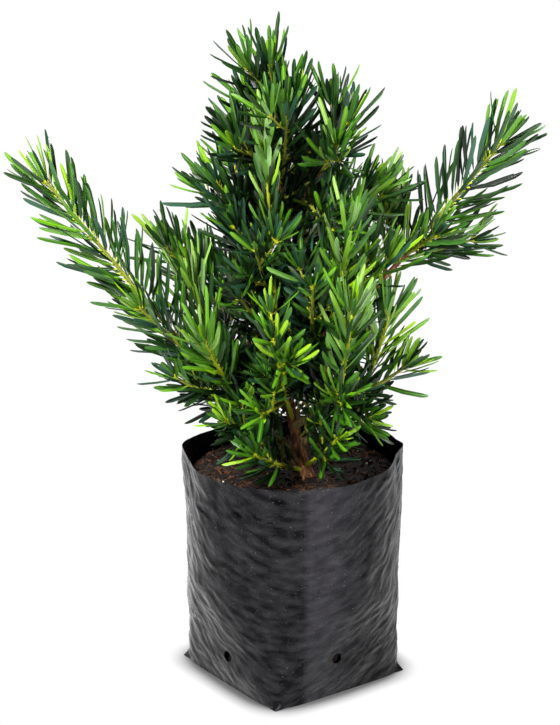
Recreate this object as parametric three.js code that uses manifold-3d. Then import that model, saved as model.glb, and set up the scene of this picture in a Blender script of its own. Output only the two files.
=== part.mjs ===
// A young podocarpus in a black film nursery bag: the bag, its potting mix, the
// leaning trunk, ten tapering boughs and the leafy shoots that grow from them.
// Millimetres and degrees, +Z up, +Y to the back. The bag stands on z = 0.
import * as THREE from 'three';
import Module from 'manifold-3d';

const wasm = await Module();
wasm.setup();

// ---- Bag: a flat square base that rounds out into a soft drum ----
const BAG_SIDES = 32;              // a multiple of four, so a fold falls on each corner
const BAG_RADIUS = 104.5;          // of the drum, and of the base's corners
const BASE_SQUARENESS = 4.5;       // superellipse exponent: 2 is a circle
const DRUM_HEIGHT = 110;           // above this the bag is round
const RIM_SPREAD = 1.5;            // how far the rim opens past the drum
const RIM_HEIGHT = 226;
const RIM_PEAKS = { heading: -6, height: 8, sharpness: 20 };
const RIM_TILT = { heading: -50, height: 3 };
const CORNER_HEADING = -99;        // of the front corner of the base
const EAR_RADIUS = 111;            // folded corners stand out of the base
const EAR_HEIGHT = 8;
const WALL = 2;
const WRINKLE = 0.5;
const SOIL_EDGE = 203;             // where the potting mix meets the film
const WALL_LEVELS = [0, 8, 40, 75, 115, SOIL_EDGE];
const HOLE = { radius: 5.5, heights: [36, 42], offset: 37, sides: 10 };

// ---- Potting mix ----
const CLEARANCE = 0.3;             // between solids that touch
const SLIVER = 0.02;               // detail below this is smoothed away
const SOIL_CENTRE = 203.7;
const SOIL_LUMP = 2.5;
const SOIL_RINGS = [                // share of the bag's radius, height, unevenness
  [0.65, 206.5, SOIL_LUMP],
  [0.36, SOIL_CENTRE, 0],
];

// ---- Trunk ----
const TRUNK_FOOT = new THREE.Vector3(13, -18, SOIL_CENTRE + CLEARANCE);
const TRUNK_LEAN = new THREE.Vector3(-20, 22, 332);
const TRUNK_BOW = new THREE.Vector3(-19, 9, 0);
const TRUNK_RADII = { foot: 6.4, tip: 2.1, taper: 0.8 };
const ROOT_FLARE = { spread: 4, height: 9, lobes: 3, depth: 0.3 };
const TRUNK_SIDES = 9;
const TRUNK_STEPS = 14;
const TRUNK_STEP_GROWTH = 1.25;    // steps are shorter at the foot

// ---- Boughs: share of the trunk's height, heading, rise, length, upturn, foot radius ----
const BOUGH_SIDES = 5;
const BOUGH_STEP = 24;
const BOUGH_TIP_SHARE = 0.55;      // tip radius over foot radius
const BOUGHS = {
  left: [0.05, 178, 45, 130, -10, 4.2],
  right: [0.26, 6, 50, 183, -5, 4.2],
  upper_right: [0.74, -14, 55, 76, 10, 2.8],
  front_right: [0.33, -38, 45, 80, 15, 3.2],
  front: [0.39, -98, 58, 60, 20, 3.0],
  right_low: [0.10, -8, 42, 89, 0, 3.4],
  right_front: [0.16, -48, 40, 84, 10, 3.4],
  back_left: [0.22, 139, 45, 97, 10, 3.4],
  back_right: [0.31, 60, 48, 97, 10, 3.4],
  back: [0.42, 93, 55, 81, 10, 3.2],
};

// ---- Shoots: limb, share along it, heading, rise, length, habit ----
const SHOOTS = {
  left_arm: ['left', 1, 175, 51, 240, 'arm'],
  left_low: ['left', 0.86, -164, 47, 116, 'twiggy'],
  left_up: ['left', 0.78, 150, 67, 108, 'plume'],
  left_front: ['left', 0.68, -115, 48, 110, 'plume'],
  left_under: ['left', 0.6, -159, 29, 84, 'inner'],
  left_foot: ['left', 0.25, -138, 28, 80, 'low'],
  left_inner: ['trunk', 0.42, -130, 44, 81, 'inner'],
  left_mid: ['trunk', 0.6, -140, 51, 78, 'crown'],
  left_centre: ['trunk', 0.5, -108, 52, 105, 'inner'],
  upper_left: ['trunk', 0.72, -167, 45, 81, 'crown'],
  front_low: ['trunk', 0.18, -102, 52, 141, 'low'],
  front_foot: ['trunk', 0.24, -110, 9, 75, 'low'],
  front_leader: ['front', 1, -114, 82, 188, 'leader'],
  front_right: ['front_right', 1, -56, 74, 108, 'plume'],
  front_inner: ['front_right', 0.6, -91, 53, 97, 'inner'],
  mid_inner: ['trunk', 0.36, -43, 56, 85, 'inner'],
  right_front: ['right_front', 1, -74, 68, 97, 'plume'],
  right_inner: ['right_front', 0.45, -29, 79, 60, 'inner'],
  right_hem: ['right_front', 0.7, -78, 31, 55, 'low'],
  right_low: ['right_low', 1, 0, 35, 43, 'twiggy'],
  right_low_up: ['right_low', 0.9, -20, 72, 92, 'plume'],
  right_foot: ['right_low', 0.6, -50, 10, 42, 'low'],
  right_fore: ['right', 0.5, -65, 59, 84, 'crown'],
  right_arm: ['right', 1, -5, 52, 136, 'arm'],
  right_arm_mid: ['right', 0.97, -43, 36, 44, 'twiggy'],
  right_arm_low: ['right', 0.93, 18, 10, 74, 'twiggy'],
  right_arm_up: ['right', 0.8, 77, 61, 64, 'crown'],
  right_mid: ['trunk', 0.66, -3, 39, 110, 'crown'],
  right_centre: ['upper_right', 0.55, -70, 1, 60, 'inner'],
  top_right: ['upper_right', 1, -78, 35, 74, 'crown'],
  top_right_back: ['upper_right', 0.92, 29, 57, 57, 'crown'],
  top: ['trunk', 1, -150, 77, 80, 'crown'],
  top_mid: ['trunk', 0.96, -68, 67, 71, 'crown'],
  top_front: ['trunk', 0.9, -86, 53, 98, 'crown'],
  top_left: ['trunk', 0.88, -140, 47, 80, 'crown'],
  top_left_back: ['trunk', 0.94, 138, 64, 54, 'crown'],
  hem_left: ['trunk', 0.03, -131, 27, 82, 'low'],
  hem_right: ['trunk', 0.04, -62, 38, 84, 'low'],
};
// How a shoot grows: the upturn of its stem in degrees, whether it forks, and its leaves'
// length and tilt beside the usual ones, how far they spread level and how they lift.
const HABITS = {
  arm: { bend: 0, forks: false, length: 1.2, tilt: 0.92, flat: 24, lift: 0.12 },
  twiggy: { bend: 0, forks: false, length: 0.85, tilt: 0.85, flat: 12, lift: 0.1 },
  plume: { bend: 6, forks: false, length: 1.05, tilt: 0.8, flat: 0, lift: 0.15 },
  crown: { bend: 12, forks: true, length: 0.98, tilt: 0.9, flat: 0, lift: 0.3 },
  leader: { bend: 0, forks: false, length: 0.75, tilt: 0.62, flat: 0, lift: 0.1 },
  low: { bend: 12, forks: true, length: 0.7, tilt: 1.05, flat: 0, lift: 0.1 },
  inner: { bend: 12, forks: true, length: 0.75, tilt: 1.1, flat: 0, lift: 0.15 },
};
// Shoots behind the trunk follow a rule instead: some fan out from each back bough,
// and some climb the trunk.
const BACK_BOUGHS = ['back_left', 'back_right', 'back'];
const BACK_FAN = { shares: [0.6, 1], turn: 38, rise: 48, length: 92 };
const BACK_CLIMB = { shares: [0.55, 0.68, 0.82], heading: 90, turn: 36, rise: 46, length: 88 };
const BACK_HABIT = 'crown';

// ---- Stems, twigs and leaves ----
const STEM_RADII = [2.0, 1.0];
const STEM_STEP = 26;
const TWIG_SPACING = 46;
const TWIG_RANGE = [0.3, 0.95];    // the shares of a stem between which twigs fork off
const TWIG_STEPS = 2;
const TWIG_RADII = [1.3, 0.8];
const TWIG_LENGTH = [24, 36];
const TWIG_SPLAY = 40;
const TWIG_RISE = 0.25;             // a twig's tip bends up by this share of its length
const SPIRAL = 137.5;
const LEAF_PITCH = 3.6;            // along the stem, from one leaf to the next
const LEAF_EVERY = 2;              // one leaf in two is built, and wider than life
const LEAF_START = 12;             // bare length at a stem's foot
const LEAF_END = 3;                // the last root is sunk this far inside the stem's tip
const LEAF_LENGTH = [48, 54, 46];  // at the foot, the middle and the tip of a stem
const LEAF_TILT = [62, 54, 38];    // away from the stem, at the same places
const LEAF_VARIETY = { roll: 30, tilt: [0.7, 1.2], length: [0.88, 1.12] };
const LEAF_FACING = 0.3;           // share of straight up in the way an unturned blade faces
const LEAF_ROLL = [10, 90];        // each blade is then turned on its stalk, either way
const LEAF_WIDTH = 11;
const LEAF_STATIONS = [[0.32, 1], [0.72, 0.8]];    // share of the length, of the width
const LEAF_RIDGE = { station: 0.5, height: 1.8 };
const LEAF_CURVE = 12;             // its outer part turns up by this angle
const LEAF_TRIMS = [[1, 1], [1, 0.7], [0.85, 1], [0.85, 0.7], [0.7, 0.9], [0.55, 0.8]];
const LEAF_NEW_FACES = 26;         // a leaf that adds more has run into another leaf
const SPACE_MARGIN = 1;            // between the spaces of two shoots
const LIMB_MARGIN = 1.6;
const POT_MARGIN = 2;
const LEAF_SAMPLES = 10;
const TWIG_SAMPLES = 6;

const Z_AXIS = new THREE.Vector3(0, 0, 1);

const COLOURS = {
  bag: { color: 0x17181b, roughness: 0.35, metalness: 0 },
  soil: { color: 0x4a3023, roughness: 0.95, metalness: 0 },
  bark: { color: 0x7a5a45, roughness: 0.85, metalness: 0 },
  foliage: { color: 0x4f7a45, roughness: 0.55, metalness: 0 },
};

// ---- Small helpers ----

const radians = THREE.MathUtils.degToRad;
const mix = THREE.MathUtils.lerp;
const smoothstep = THREE.MathUtils.smoothstep;

// A steady value from 0 to 1 for a shoot's number, a count along it and a purpose.
function noise(seed, count, purpose) {
  const wave = Math.sin(seed * 12.9898 + count * 78.233 + purpose * 37.719) * 43758.5453;
  return wave - Math.floor(wave);
}

// A value that runs through three stops as share goes from 0 to 1.
function along([foot, middle, tip], share) {
  return share < 0.5 ? mix(foot, middle, share * 2) : mix(middle, tip, share * 2 - 1);
}

function direction(heading, rise) {
  const level = Math.cos(radians(rise));
  return new THREE.Vector3(
    level * Math.cos(radians(heading)),
    level * Math.sin(radians(heading)),
    Math.sin(radians(rise)),
  );
}

// The closed skin through a row of rings, each a loop of points in the same order,
// anticlockwise seen from the last ring. The ends are fans round their centres. Every
// quad's diagonal climbs the same way round, so that one skin nests inside another.
function closedSkin(rings) {
  const sides = rings[0].length;
  const points = rings.flat();
  const faces = [];
  for (let level = 0; level + 1 < rings.length; level += 1) {
    for (let side = 0; side < sides; side += 1) {
      const next = (side + 1) % sides;
      const a = level * sides + side;
      const b = level * sides + next;
      const falling = rings[level + 1][side].z < rings[level][side].z;
      if (falling) faces.push(a, b, a + sides, b, b + sides, a + sides);
      else faces.push(a, b, b + sides, a, b + sides, a + sides);
    }
  }
  const last = (rings.length - 1) * sides;
  if (sides === 3) {
    faces.push(0, 2, 1, last, last + 1, last + 2);
  } else {
    for (const [start, turn] of [[0, -1], [last, 1]]) {
      const ring = points.slice(start, start + sides);
      const centre = ring.reduce((sum, point) => sum.add(point), new THREE.Vector3());
      points.push(centre.divideScalar(sides));
      for (let side = 0; side < sides; side += 1) {
        const here = start + side;
        const next = start + (side + 1) % sides;
        faces.push(points.length - 1, turn > 0 ? here : next, turn > 0 ? next : here);
      }
    }
  }
  return solid(points, faces);
}

function solid(points, faces) {
  const vertProperties = new Float32Array(points.flatMap((point) => point.toArray()));
  const triVerts = new Uint32Array(faces);
  return new wasm.Manifold(new wasm.Mesh({ numProp: 3, vertProperties, triVerts }));
}

// The largest body of a joined solid, without slivers, loose scraps or sealed hollows.
function mainBody(joined) {
  const bodies = joined.simplify(SLIVER).decompose();
  return bodies.reduce((best, body) => (body.volume() > best.volume() ? body : best));
}

function meshOf(name, body, look) {
  const { vertProperties, triVerts } = body.getMesh();
  const geometry = new THREE.BufferGeometry();
  geometry.setAttribute('position', new THREE.BufferAttribute(vertProperties, 3));
  geometry.setIndex(new THREE.BufferAttribute(triVerts, 1));
  geometry.computeVertexNormals();
  const mesh = new THREE.Mesh(geometry, new THREE.MeshStandardMaterial(look));
  mesh.name = name;
  return mesh;
}

// A tapering tube along a row of points, its rings square to the row.
function taperedTube(points, radii, sides) {
  let across = new THREE.Vector3();
  const rings = points.map((point, i) => {
    const before = points[Math.max(i - 1, 0)];
    const after = points[Math.min(i + 1, points.length - 1)];
    const forward = after.clone().sub(before).normalize();
    if (i === 0) {
      across.crossVectors(Math.abs(forward.z) < 0.9 ? Z_AXIS : new THREE.Vector3(1, 0, 0), forward);
    }
    across = across.addScaledVector(forward, -across.dot(forward)).normalize();
    const third = forward.clone().cross(across);
    return Array.from({ length: sides }, (_, side) => {
      const angle = (2 * Math.PI * side) / sides;
      return point.clone()
        .addScaledVector(across, radii[i] * Math.cos(angle))
        .addScaledVector(third, radii[i] * Math.sin(angle));
    });
  });
  return closedSkin(rings);
}

// The points of a shoot or bough that sets out along heading and rise, and turns up
// by bend degrees in all, half of it before the middle and half after.
function growth(start, heading, rise, length, bend, step) {
  const steps = Math.max(Math.round(length / step), 2);
  const points = [start.clone()];
  for (let i = 0; i < steps; i += 1) {
    const turned = rise + bend * ((i + 0.5) / steps - 0.5);
    points.push(points[i].clone().addScaledVector(direction(heading, turned), length / steps));
  }
  return points;
}

function pointAlong(points, share) {
  const place = share * (points.length - 1);
  const index = Math.min(Math.floor(place), points.length - 2);
  return points[index].clone().lerp(points[index + 1], place - index);
}

// The shortest distance from a point to a row of points, and how far along it lies.
function nearestOn(points, point) {
  const nearest = { distance: Infinity, share: 0 };
  const line = new THREE.Line3();
  const foot = new THREE.Vector3();
  for (let i = 0; i + 1 < points.length; i += 1) {
    line.set(points[i], points[i + 1]);
    const t = line.closestPointToPointParameter(point, true);
    const distance = line.at(t, foot).distanceTo(point);
    if (distance < nearest.distance) {
      nearest.distance = distance;
      nearest.share = (i + t) / (points.length - 1);
    }
  }
  return nearest;
}

// ---- Bag ----

function bagRadius(angle, z) {
  const rounding = smoothstep(z, 0, DRUM_HEIGHT);
  const exponent = mix(BASE_SQUARENESS, 2, rounding);
  const halfSide = BAG_RADIUS / 2 ** (0.5 - 1 / exponent);
  const turned = angle - radians(CORNER_HEADING + 45);
  const across = Math.abs(Math.cos(turned)) ** exponent + Math.abs(Math.sin(turned)) ** exponent;
  const spread = RIM_SPREAD * smoothstep(z, DRUM_HEIGHT, RIM_HEIGHT);
  const wrinkle = WRINKLE * rounding * (Math.sin(5 * angle + z / 19) + Math.sin(3 * angle - z / 31));
  return halfSide / across ** (1 / exponent) + spread + wrinkle;
}

function rimHeight(angle) {
  const peak = Math.cos(angle - radians(RIM_PEAKS.heading)) ** RIM_PEAKS.sharpness;
  const tilt = Math.cos(angle - radians(RIM_TILT.heading));
  return RIM_HEIGHT + RIM_PEAKS.height * peak + RIM_TILT.height * tilt;
}

// One loop round the bag, inset from its outside. z is a height or a function of angle.
function bagRing(z, inset, earShare = 0) {
  return Array.from({ length: BAG_SIDES }, (_, side) => {
    const heading = CORNER_HEADING + (side * 360) / BAG_SIDES;
    const angle = radians(heading);
    const height = typeof z === 'function' ? z(angle) : z;
    const body = bagRadius(angle, height) - inset;
    const onCorner = side % (BAG_SIDES / 4) === 0;
    const radius = onCorner ? mix(body, EAR_RADIUS, earShare) : body;
    return new THREE.Vector3(radius * Math.cos(angle), radius * Math.sin(angle), height);
  });
}

function bag() {
  const outside = WALL_LEVELS.map((z) => bagRing(z, 0, z < EAR_HEIGHT ? 1 : 0));
  const inside = WALL_LEVELS.slice(1).reverse().map((z) => bagRing(z, WALL));
  let film = closedSkin([
    ...outside,
    bagRing(rimHeight, 0),
    bagRing(rimHeight, WALL),
    ...inside,
    bagRing(WALL, WALL),
  ]);
  for (const side of [0, 180]) {
    HOLE.heights.forEach((height, i) => {
      const angle = radians(CORNER_HEADING + side + HOLE.offset * (i === 0 ? -1 : 1));
      const outward = new THREE.Vector3(Math.cos(angle), Math.sin(angle), 0);
      const middle = outward.clone().multiplyScalar(bagRadius(angle, height));
      middle.z = height;
      const reach = WALL * 3;
      const ends = [-reach, reach].map((depth) => middle.clone().addScaledVector(outward, depth));
      film = film.subtract(taperedTube(ends, [HOLE.radius, HOLE.radius], HOLE.sides));
    });
  }
  return meshOf('bag', film, COLOURS.bag);
}

// ---- Potting mix ----

function soil() {
  const inset = WALL + CLEARANCE;
  const walls = WALL_LEVELS.slice(1).map((z) => bagRing(z, inset));
  const edge = walls[walls.length - 1];
  const top = SOIL_RINGS.map(([share, height, lump], ring) => edge.map((point, side) => (
    new THREE.Vector3(point.x * share, point.y * share, height + lump * noise(ring, side, 0))
  )));
  return meshOf('soil', closedSkin([bagRing(WALL + CLEARANCE, inset), ...walls, ...top]), COLOURS.soil);
}

// ---- Trunk and boughs ----

function trunkPoint(share) {
  return TRUNK_FOOT.clone()
    .addScaledVector(TRUNK_LEAN, share)
    .addScaledVector(TRUNK_BOW, Math.sin(Math.PI * share));
}

function trunkRadius(share) {
  return mix(TRUNK_RADII.foot, TRUNK_RADII.tip, share ** TRUNK_RADII.taper);
}

// The trunk, grown all round by a clearance when it is to cut its neighbours.
function trunkBody(clearance = 0) {
  const rings = Array.from({ length: TRUNK_STEPS + 1 }, (_, step) => {
    const share = (step / TRUNK_STEPS) ** TRUNK_STEP_GROWTH;
    const centre = trunkPoint(share);
    if (step === 0) centre.z -= clearance;
    if (step === TRUNK_STEPS) centre.z += clearance;
    const fade = Math.exp((-share * TRUNK_LEAN.z) / ROOT_FLARE.height);
    return Array.from({ length: TRUNK_SIDES }, (_side, side) => {
      const angle = (2 * Math.PI * side) / TRUNK_SIDES;
      const lobe = 1 + ROOT_FLARE.depth * Math.cos(ROOT_FLARE.lobes * angle);
      const radius = trunkRadius(share) + ROOT_FLARE.spread * fade * lobe + clearance;
      return centre.clone().add(new THREE.Vector3(radius * Math.cos(angle), radius * Math.sin(angle), 0));
    });
  });
  return closedSkin(rings);
}

function boughBody(limb, clearance = 0) {
  const points = limb.points.map((point) => point.clone());
  const tip = points[points.length - 1];
  const forward = tip.clone().sub(points[points.length - 2]).normalize();
  tip.addScaledVector(forward, clearance);
  return taperedTube(points, limb.radii.map((radius) => radius + clearance), BOUGH_SIDES);
}

// Every limb as its centreline and radii. The trunk is straight-sided between steps.
function makeLimbs() {
  const trunkShares = Array.from({ length: TRUNK_STEPS + 1 }, (_, step) => step / TRUNK_STEPS);
  const limbs = {
    trunk: { points: trunkShares.map(trunkPoint), radii: trunkShares.map(trunkRadius) },
  };
  for (const [name, [share, heading, rise, length, bend, radius]] of Object.entries(BOUGHS)) {
    const points = growth(trunkPoint(share), heading, rise, length, bend, BOUGH_STEP);
    const radii = points.map((_, i) => mix(radius, radius * BOUGH_TIP_SHARE, i / (points.length - 1)));
    limbs[name] = { points, radii };
  }
  return limbs;
}

// ---- Shoots ----

function shootTable() {
  const table = { ...SHOOTS };
  for (const bough of BACK_BOUGHS) {
    const boughHeading = BOUGHS[bough][1];
    BACK_FAN.shares.forEach((share, i) => {
      const heading = boughHeading + BACK_FAN.turn * (i - 0.5);
      table[`${bough}_${i + 1}`] = [bough, share, heading, BACK_FAN.rise, BACK_FAN.length, BACK_HABIT];
    });
  }
  BACK_CLIMB.shares.forEach((share, i) => {
    const heading = BACK_CLIMB.heading + BACK_CLIMB.turn * (i % 2 === 0 ? 1 : -1);
    table[`climb_${i + 1}`] = ['trunk', share, heading, BACK_CLIMB.rise, BACK_CLIMB.length, BACK_HABIT];
  });
  return table;
}

// The stem and side twigs of one shoot, as rows of points with their radii.
function skeleton([limbName, share, heading, rise, length, habitName], seed, limbs) {
  const habit = HABITS[habitName];
  const start = pointAlong(limbs[limbName].points, share);
  const stem = growth(start, heading, rise, length, habit.bend, STEM_STEP);
  const axes = [{ points: stem, radii: STEM_RADII, length }];
  const forks = habit.forks ? Math.floor(length / TWIG_SPACING) : 0;
  for (let fork = 0; fork < forks; fork += 1) {
    const place = mix(...TWIG_RANGE, (fork + 0.5) / forks);
    const roll = fork * SPIRAL + 360 * noise(seed, 0, 1);
    const twigLength = mix(...TWIG_LENGTH, noise(seed, fork, 5));
    const forward = direction(heading, rise);
    const outward = sideways(forward, roll);
    const way = forward.multiplyScalar(Math.cos(radians(TWIG_SPLAY)))
      .addScaledVector(outward, Math.sin(radians(TWIG_SPLAY)));
    const foot = pointAlong(stem, place);
    const points = Array.from({ length: TWIG_STEPS + 1 }, (_, step) => {
      const reach = step / TWIG_STEPS;
      return foot.clone()
        .addScaledVector(way, twigLength * reach)
        .addScaledVector(Z_AXIS, TWIG_RISE * twigLength * reach ** 2);
    });
    axes.push({ points, radii: TWIG_RADII, length: twigLength });
  }
  return { limbName, habit, axes };
}

// A direction square to forward, turned round it by roll degrees from straight up.
function sideways(forward, roll) {
  const right = forward.clone().cross(Z_AXIS).normalize();
  const up = right.clone().cross(forward);
  return up.multiplyScalar(Math.cos(radians(roll))).addScaledVector(right, Math.sin(radians(roll)));
}

// Every leaf that the spiral rule gives one axis: its root, direction, face and length.
function leavesOf(axis, axisIndex, seed, habit) {
  const leaves = [];
  const first = axisIndex === 0 ? LEAF_START : LEAF_START / 2;
  const count = Math.floor((axis.length - LEAF_END - first) / LEAF_PITCH) + 1;
  for (let i = 0; i < count; i += LEAF_EVERY) {
    const key = axisIndex * 1000 + i;
    const share = (first + i * LEAF_PITCH) / axis.length;
    const root = pointAlong(axis.points, share);
    const ahead = pointAlong(axis.points, share + 0.01);
    const behind = pointAlong(axis.points, share - 0.01);
    const forward = ahead.sub(behind).normalize();
    const around = i * SPIRAL + LEAF_VARIETY.roll * noise(seed, key, 2);
    const outward = sideways(forward, around - habit.flat * Math.sin(radians(2 * around)));
    const tilt = along(LEAF_TILT, share) * habit.tilt * mix(...LEAF_VARIETY.tilt, noise(seed, key, 3));
    const full = along(LEAF_LENGTH, share) * habit.length;
    const length = full * mix(...LEAF_VARIETY.length, noise(seed, key, 4));
    const turn = 2 * noise(seed, key, 10) - 1;
    const roll = Math.sign(turn) * mix(...LEAF_ROLL, Math.abs(turn));
    leaves.push({ root, forward, outward, tilt, length, roll, lift: habit.lift });
  }
  return leaves;
}

// A leaf set at its tilt, or closer to its stem, and cut to a share of its length.
function placedLeaf(growing, [lengthShare, tiltShare]) {
  const { root, forward, outward, tilt, length, roll, lift } = growing;
  const angle = radians(tilt * tiltShare);
  const way = forward.clone().multiplyScalar(Math.cos(angle))
    .addScaledVector(outward, Math.sin(angle))
    .addScaledVector(Z_AXIS, lift)
    .normalize();
  const rising = forward.clone().lerp(Z_AXIS, LEAF_FACING);
  rising.addScaledVector(way, -rising.dot(way)).normalize();
  const level = way.clone().cross(rising);
  const face = rising.clone().multiplyScalar(Math.cos(radians(roll)))
    .addScaledVector(level, Math.sin(radians(roll)));
  return { root, way, rising, face, side: way.clone().cross(face), length: length * lengthShare };
}

// A point of the blade: a share of its length out along the midrib, which curves up
// more and more, and so far to the side.
function bladePoint({ root, way, rising, side, length }, share, offset = 0) {
  const lift = Math.tan(radians(LEAF_CURVE)) * length * share * share * 0.5;
  return root.clone()
    .addScaledVector(way, length * share)
    .addScaledVector(rising, lift)
    .addScaledVector(side, offset);
}

// A lance-shaped leaf: a bent six-sided sheet with a low ridge along its upper side.
function leafBody(leaf) {
  const half = LEAF_WIDTH / 2;
  const points = [
    bladePoint(leaf, 0),
    ...LEAF_STATIONS.map(([share, width]) => bladePoint(leaf, share, half * width)),
    bladePoint(leaf, 1),
    ...LEAF_STATIONS.toReversed().map(([share, width]) => bladePoint(leaf, share, -half * width)),
  ];
  const outline = points.length;
  points.push(bladePoint(leaf, LEAF_RIDGE.station).addScaledVector(leaf.face, LEAF_RIDGE.height));
  const faces = [0, 5, 1, 1, 5, 2, 2, 5, 4, 2, 4, 3];
  for (let i = 0; i < outline; i += 1) faces.push(outline, i, (i + 1) % outline);
  return solid(points, faces);
}

// Half the blade's width at a share of its length. Its edges are straight between stations.
function halfWidth(share) {
  const stops = [[0, 0], ...LEAF_STATIONS, [1, 0]];
  const next = stops.findIndex(([stop]) => stop >= share);
  const [[lowStop, lowWidth], [highStop, highWidth]] = [stops[next - 1], stops[next]];
  return (LEAF_WIDTH / 2) * mix(lowWidth, highWidth, (share - lowStop) / (highStop - lowStop));
}

// Points spread over a leaf's outline, from just beyond its root to its tip.
function leafSamples(leaf) {
  const samples = [];
  for (let step = 2; step <= LEAF_SAMPLES; step += 1) {
    const share = step / LEAF_SAMPLES;
    const half = halfWidth(share);
    for (const offset of [-half, 0, half]) samples.push(bladePoint(leaf, share, offset));
  }
  return samples;
}

function clearOfPot(point) {
  const angle = Math.atan2(point.y, point.x);
  const radius = Math.hypot(point.x, point.y);
  const inside = bagRadius(angle, RIM_HEIGHT) - WALL;
  if (radius < inside - POT_MARGIN) return point.z > SOIL_RINGS[0][1] + SOIL_LUMP + POT_MARGIN;
  return point.z > rimHeight(angle) + POT_MARGIN;
}

function clearOfLimbs(point, limbs) {
  return Object.values(limbs).every(({ points, radii }) => {
    const { distance, share } = nearestOn(points, point);
    return distance > mix(radii[0], radii[radii.length - 1], share) + LIMB_MARGIN;
  });
}

function distanceToShoot(shoot, point) {
  return Math.min(...shoot.axes.map((axis) => nearestOn(axis.points, point).distance));
}

// A shoot's space is whatever lies nearer to its own stem and twigs than to others'.
function inSpace(point, own, shoots) {
  const reach = distanceToShoot(own, point) + SPACE_MARGIN;
  return shoots.every((other) => other === own || distanceToShoot(other, point) > reach);
}

function axisSamples(axis) {
  return Array.from({ length: TWIG_SAMPLES }, (_, i) => pointAlong(axis.points, (i + 1) / TWIG_SAMPLES));
}

function allowed(points, own, shoots, limbs) {
  return points.every((point) => clearOfPot(point) && clearOfLimbs(point, limbs)
    && inSpace(point, own, shoots));
}

function shootMesh(name, seed, shoots, limbs, limbCutters) {
  const shoot = shoots[seed];
  let body = null;
  shoot.axes.forEach((axis, axisIndex) => {
    const radii = axis.points.map((_, i) => mix(...axis.radii, i / (axis.points.length - 1)));
    const tube = taperedTube(axis.points, radii, 3);
    body = body ? body.add(tube) : tube;
    for (const growing of leavesOf(axis, axisIndex, seed, shoot.habit)) {
      const leaf = LEAF_TRIMS.map((trim) => placedLeaf(growing, trim))
        .find((placed) => allowed(leafSamples(placed), shoot, shoots, limbs));
      const joined = leaf ? body.add(leafBody(leaf)) : body;
      if (joined.numTri() - body.numTri() <= LEAF_NEW_FACES) body = joined;
    }
  });
  return meshOf(`shoot_${name}`, mainBody(body.subtract(limbCutters[shoot.limbName])), COLOURS.foliage);
}

// ---- Assembly ----

const group = new THREE.Group();
group.add(bag());
group.add(soil());

const limbs = makeLimbs();
const grownTrunk = trunkBody(CLEARANCE);
const limbCutters = { trunk: grownTrunk };
group.add(meshOf('trunk', trunkBody(), COLOURS.bark));
for (const name of Object.keys(BOUGHS)) {
  group.add(meshOf(`bough_${name}`, mainBody(boughBody(limbs[name]).subtract(grownTrunk)), COLOURS.bark));
  limbCutters[name] = boughBody(limbs[name], CLEARANCE);
}

const table = shootTable();
const shoots = Object.values(table).map((row, seed) => skeleton(row, seed, limbs));
for (const shoot of shoots) {
  shoot.axes = shoot.axes.filter((axis, i) => (
    i === 0 || allowed(axisSamples(axis), shoot, shoots, limbs)
  ));
}
Object.keys(table).forEach((name, seed) => {
  group.add(shootMesh(name, seed, shoots, limbs, limbCutters));
});

export default group;
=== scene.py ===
"""A young podocarpus in a black film nursery bag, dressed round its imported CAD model.

The plant grows here by the same rule as its solids, from the same named sizes, and goes
on to finer twigs and to every leaf. Lengths are millimetres until a mesh is made.
"""
import math

import bpy
import numpy as np
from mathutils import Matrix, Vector, noise


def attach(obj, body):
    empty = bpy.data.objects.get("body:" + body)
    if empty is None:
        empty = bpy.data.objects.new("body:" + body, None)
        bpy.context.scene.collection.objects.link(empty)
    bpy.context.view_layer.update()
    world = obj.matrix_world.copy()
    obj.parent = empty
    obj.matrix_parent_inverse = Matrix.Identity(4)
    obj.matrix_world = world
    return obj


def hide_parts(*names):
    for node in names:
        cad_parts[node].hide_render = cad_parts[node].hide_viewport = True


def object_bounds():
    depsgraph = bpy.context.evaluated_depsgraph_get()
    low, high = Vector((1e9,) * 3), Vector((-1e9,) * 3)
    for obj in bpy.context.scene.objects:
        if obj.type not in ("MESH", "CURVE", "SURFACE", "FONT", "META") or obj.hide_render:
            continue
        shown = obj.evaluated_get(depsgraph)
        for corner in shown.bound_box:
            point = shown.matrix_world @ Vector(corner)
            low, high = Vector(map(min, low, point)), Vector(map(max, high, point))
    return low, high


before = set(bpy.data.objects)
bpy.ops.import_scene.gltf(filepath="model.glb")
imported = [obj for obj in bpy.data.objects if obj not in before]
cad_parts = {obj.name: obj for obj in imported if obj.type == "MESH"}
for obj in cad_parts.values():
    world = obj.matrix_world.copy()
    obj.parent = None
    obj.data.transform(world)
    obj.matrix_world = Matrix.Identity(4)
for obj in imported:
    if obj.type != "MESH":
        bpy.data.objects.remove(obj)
cad_low, cad_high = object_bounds()

MM = 0.001


def greys(stops):
    """The stops of a ramp in plain levels from black at 0 to white at 1."""
    return [(share, (level,) * 3) for share, level in stops]


# ---- Bag, as in the solids ----
BAG_RADIUS = 104.5
BASE_SQUARENESS = 4.5
DRUM_HEIGHT = 110
RIM_SPREAD = 1.5
RIM_HEIGHT = 226
RIM_PEAKS = {"heading": -6, "height": 8, "sharpness": 20}
RIM_TILT = {"heading": -50, "height": 3}
CORNER_HEADING = -99
EAR_RADIUS = 111
EAR_HEIGHT = 8
WRINKLE = 0.5
WRINKLE_WAVES = [(5, 19), (3, -31)]  # waves round the bag, and the climb that turns them a radian
WALL = 2
SOIL_EDGE = 203
PAINTED_REFLECTION = {  # a painted reflection: a paler strip between two headings, full between two shares of its width
    "headings": (-85, -50), "full": (0.11, 0.4), "colour": (0.010, 0.0095, 0.011),
}
HOLE = {"radius": 5.5, "heights": (36, 42), "offset": 37, "reach": 5, "sides": 32}

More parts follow.
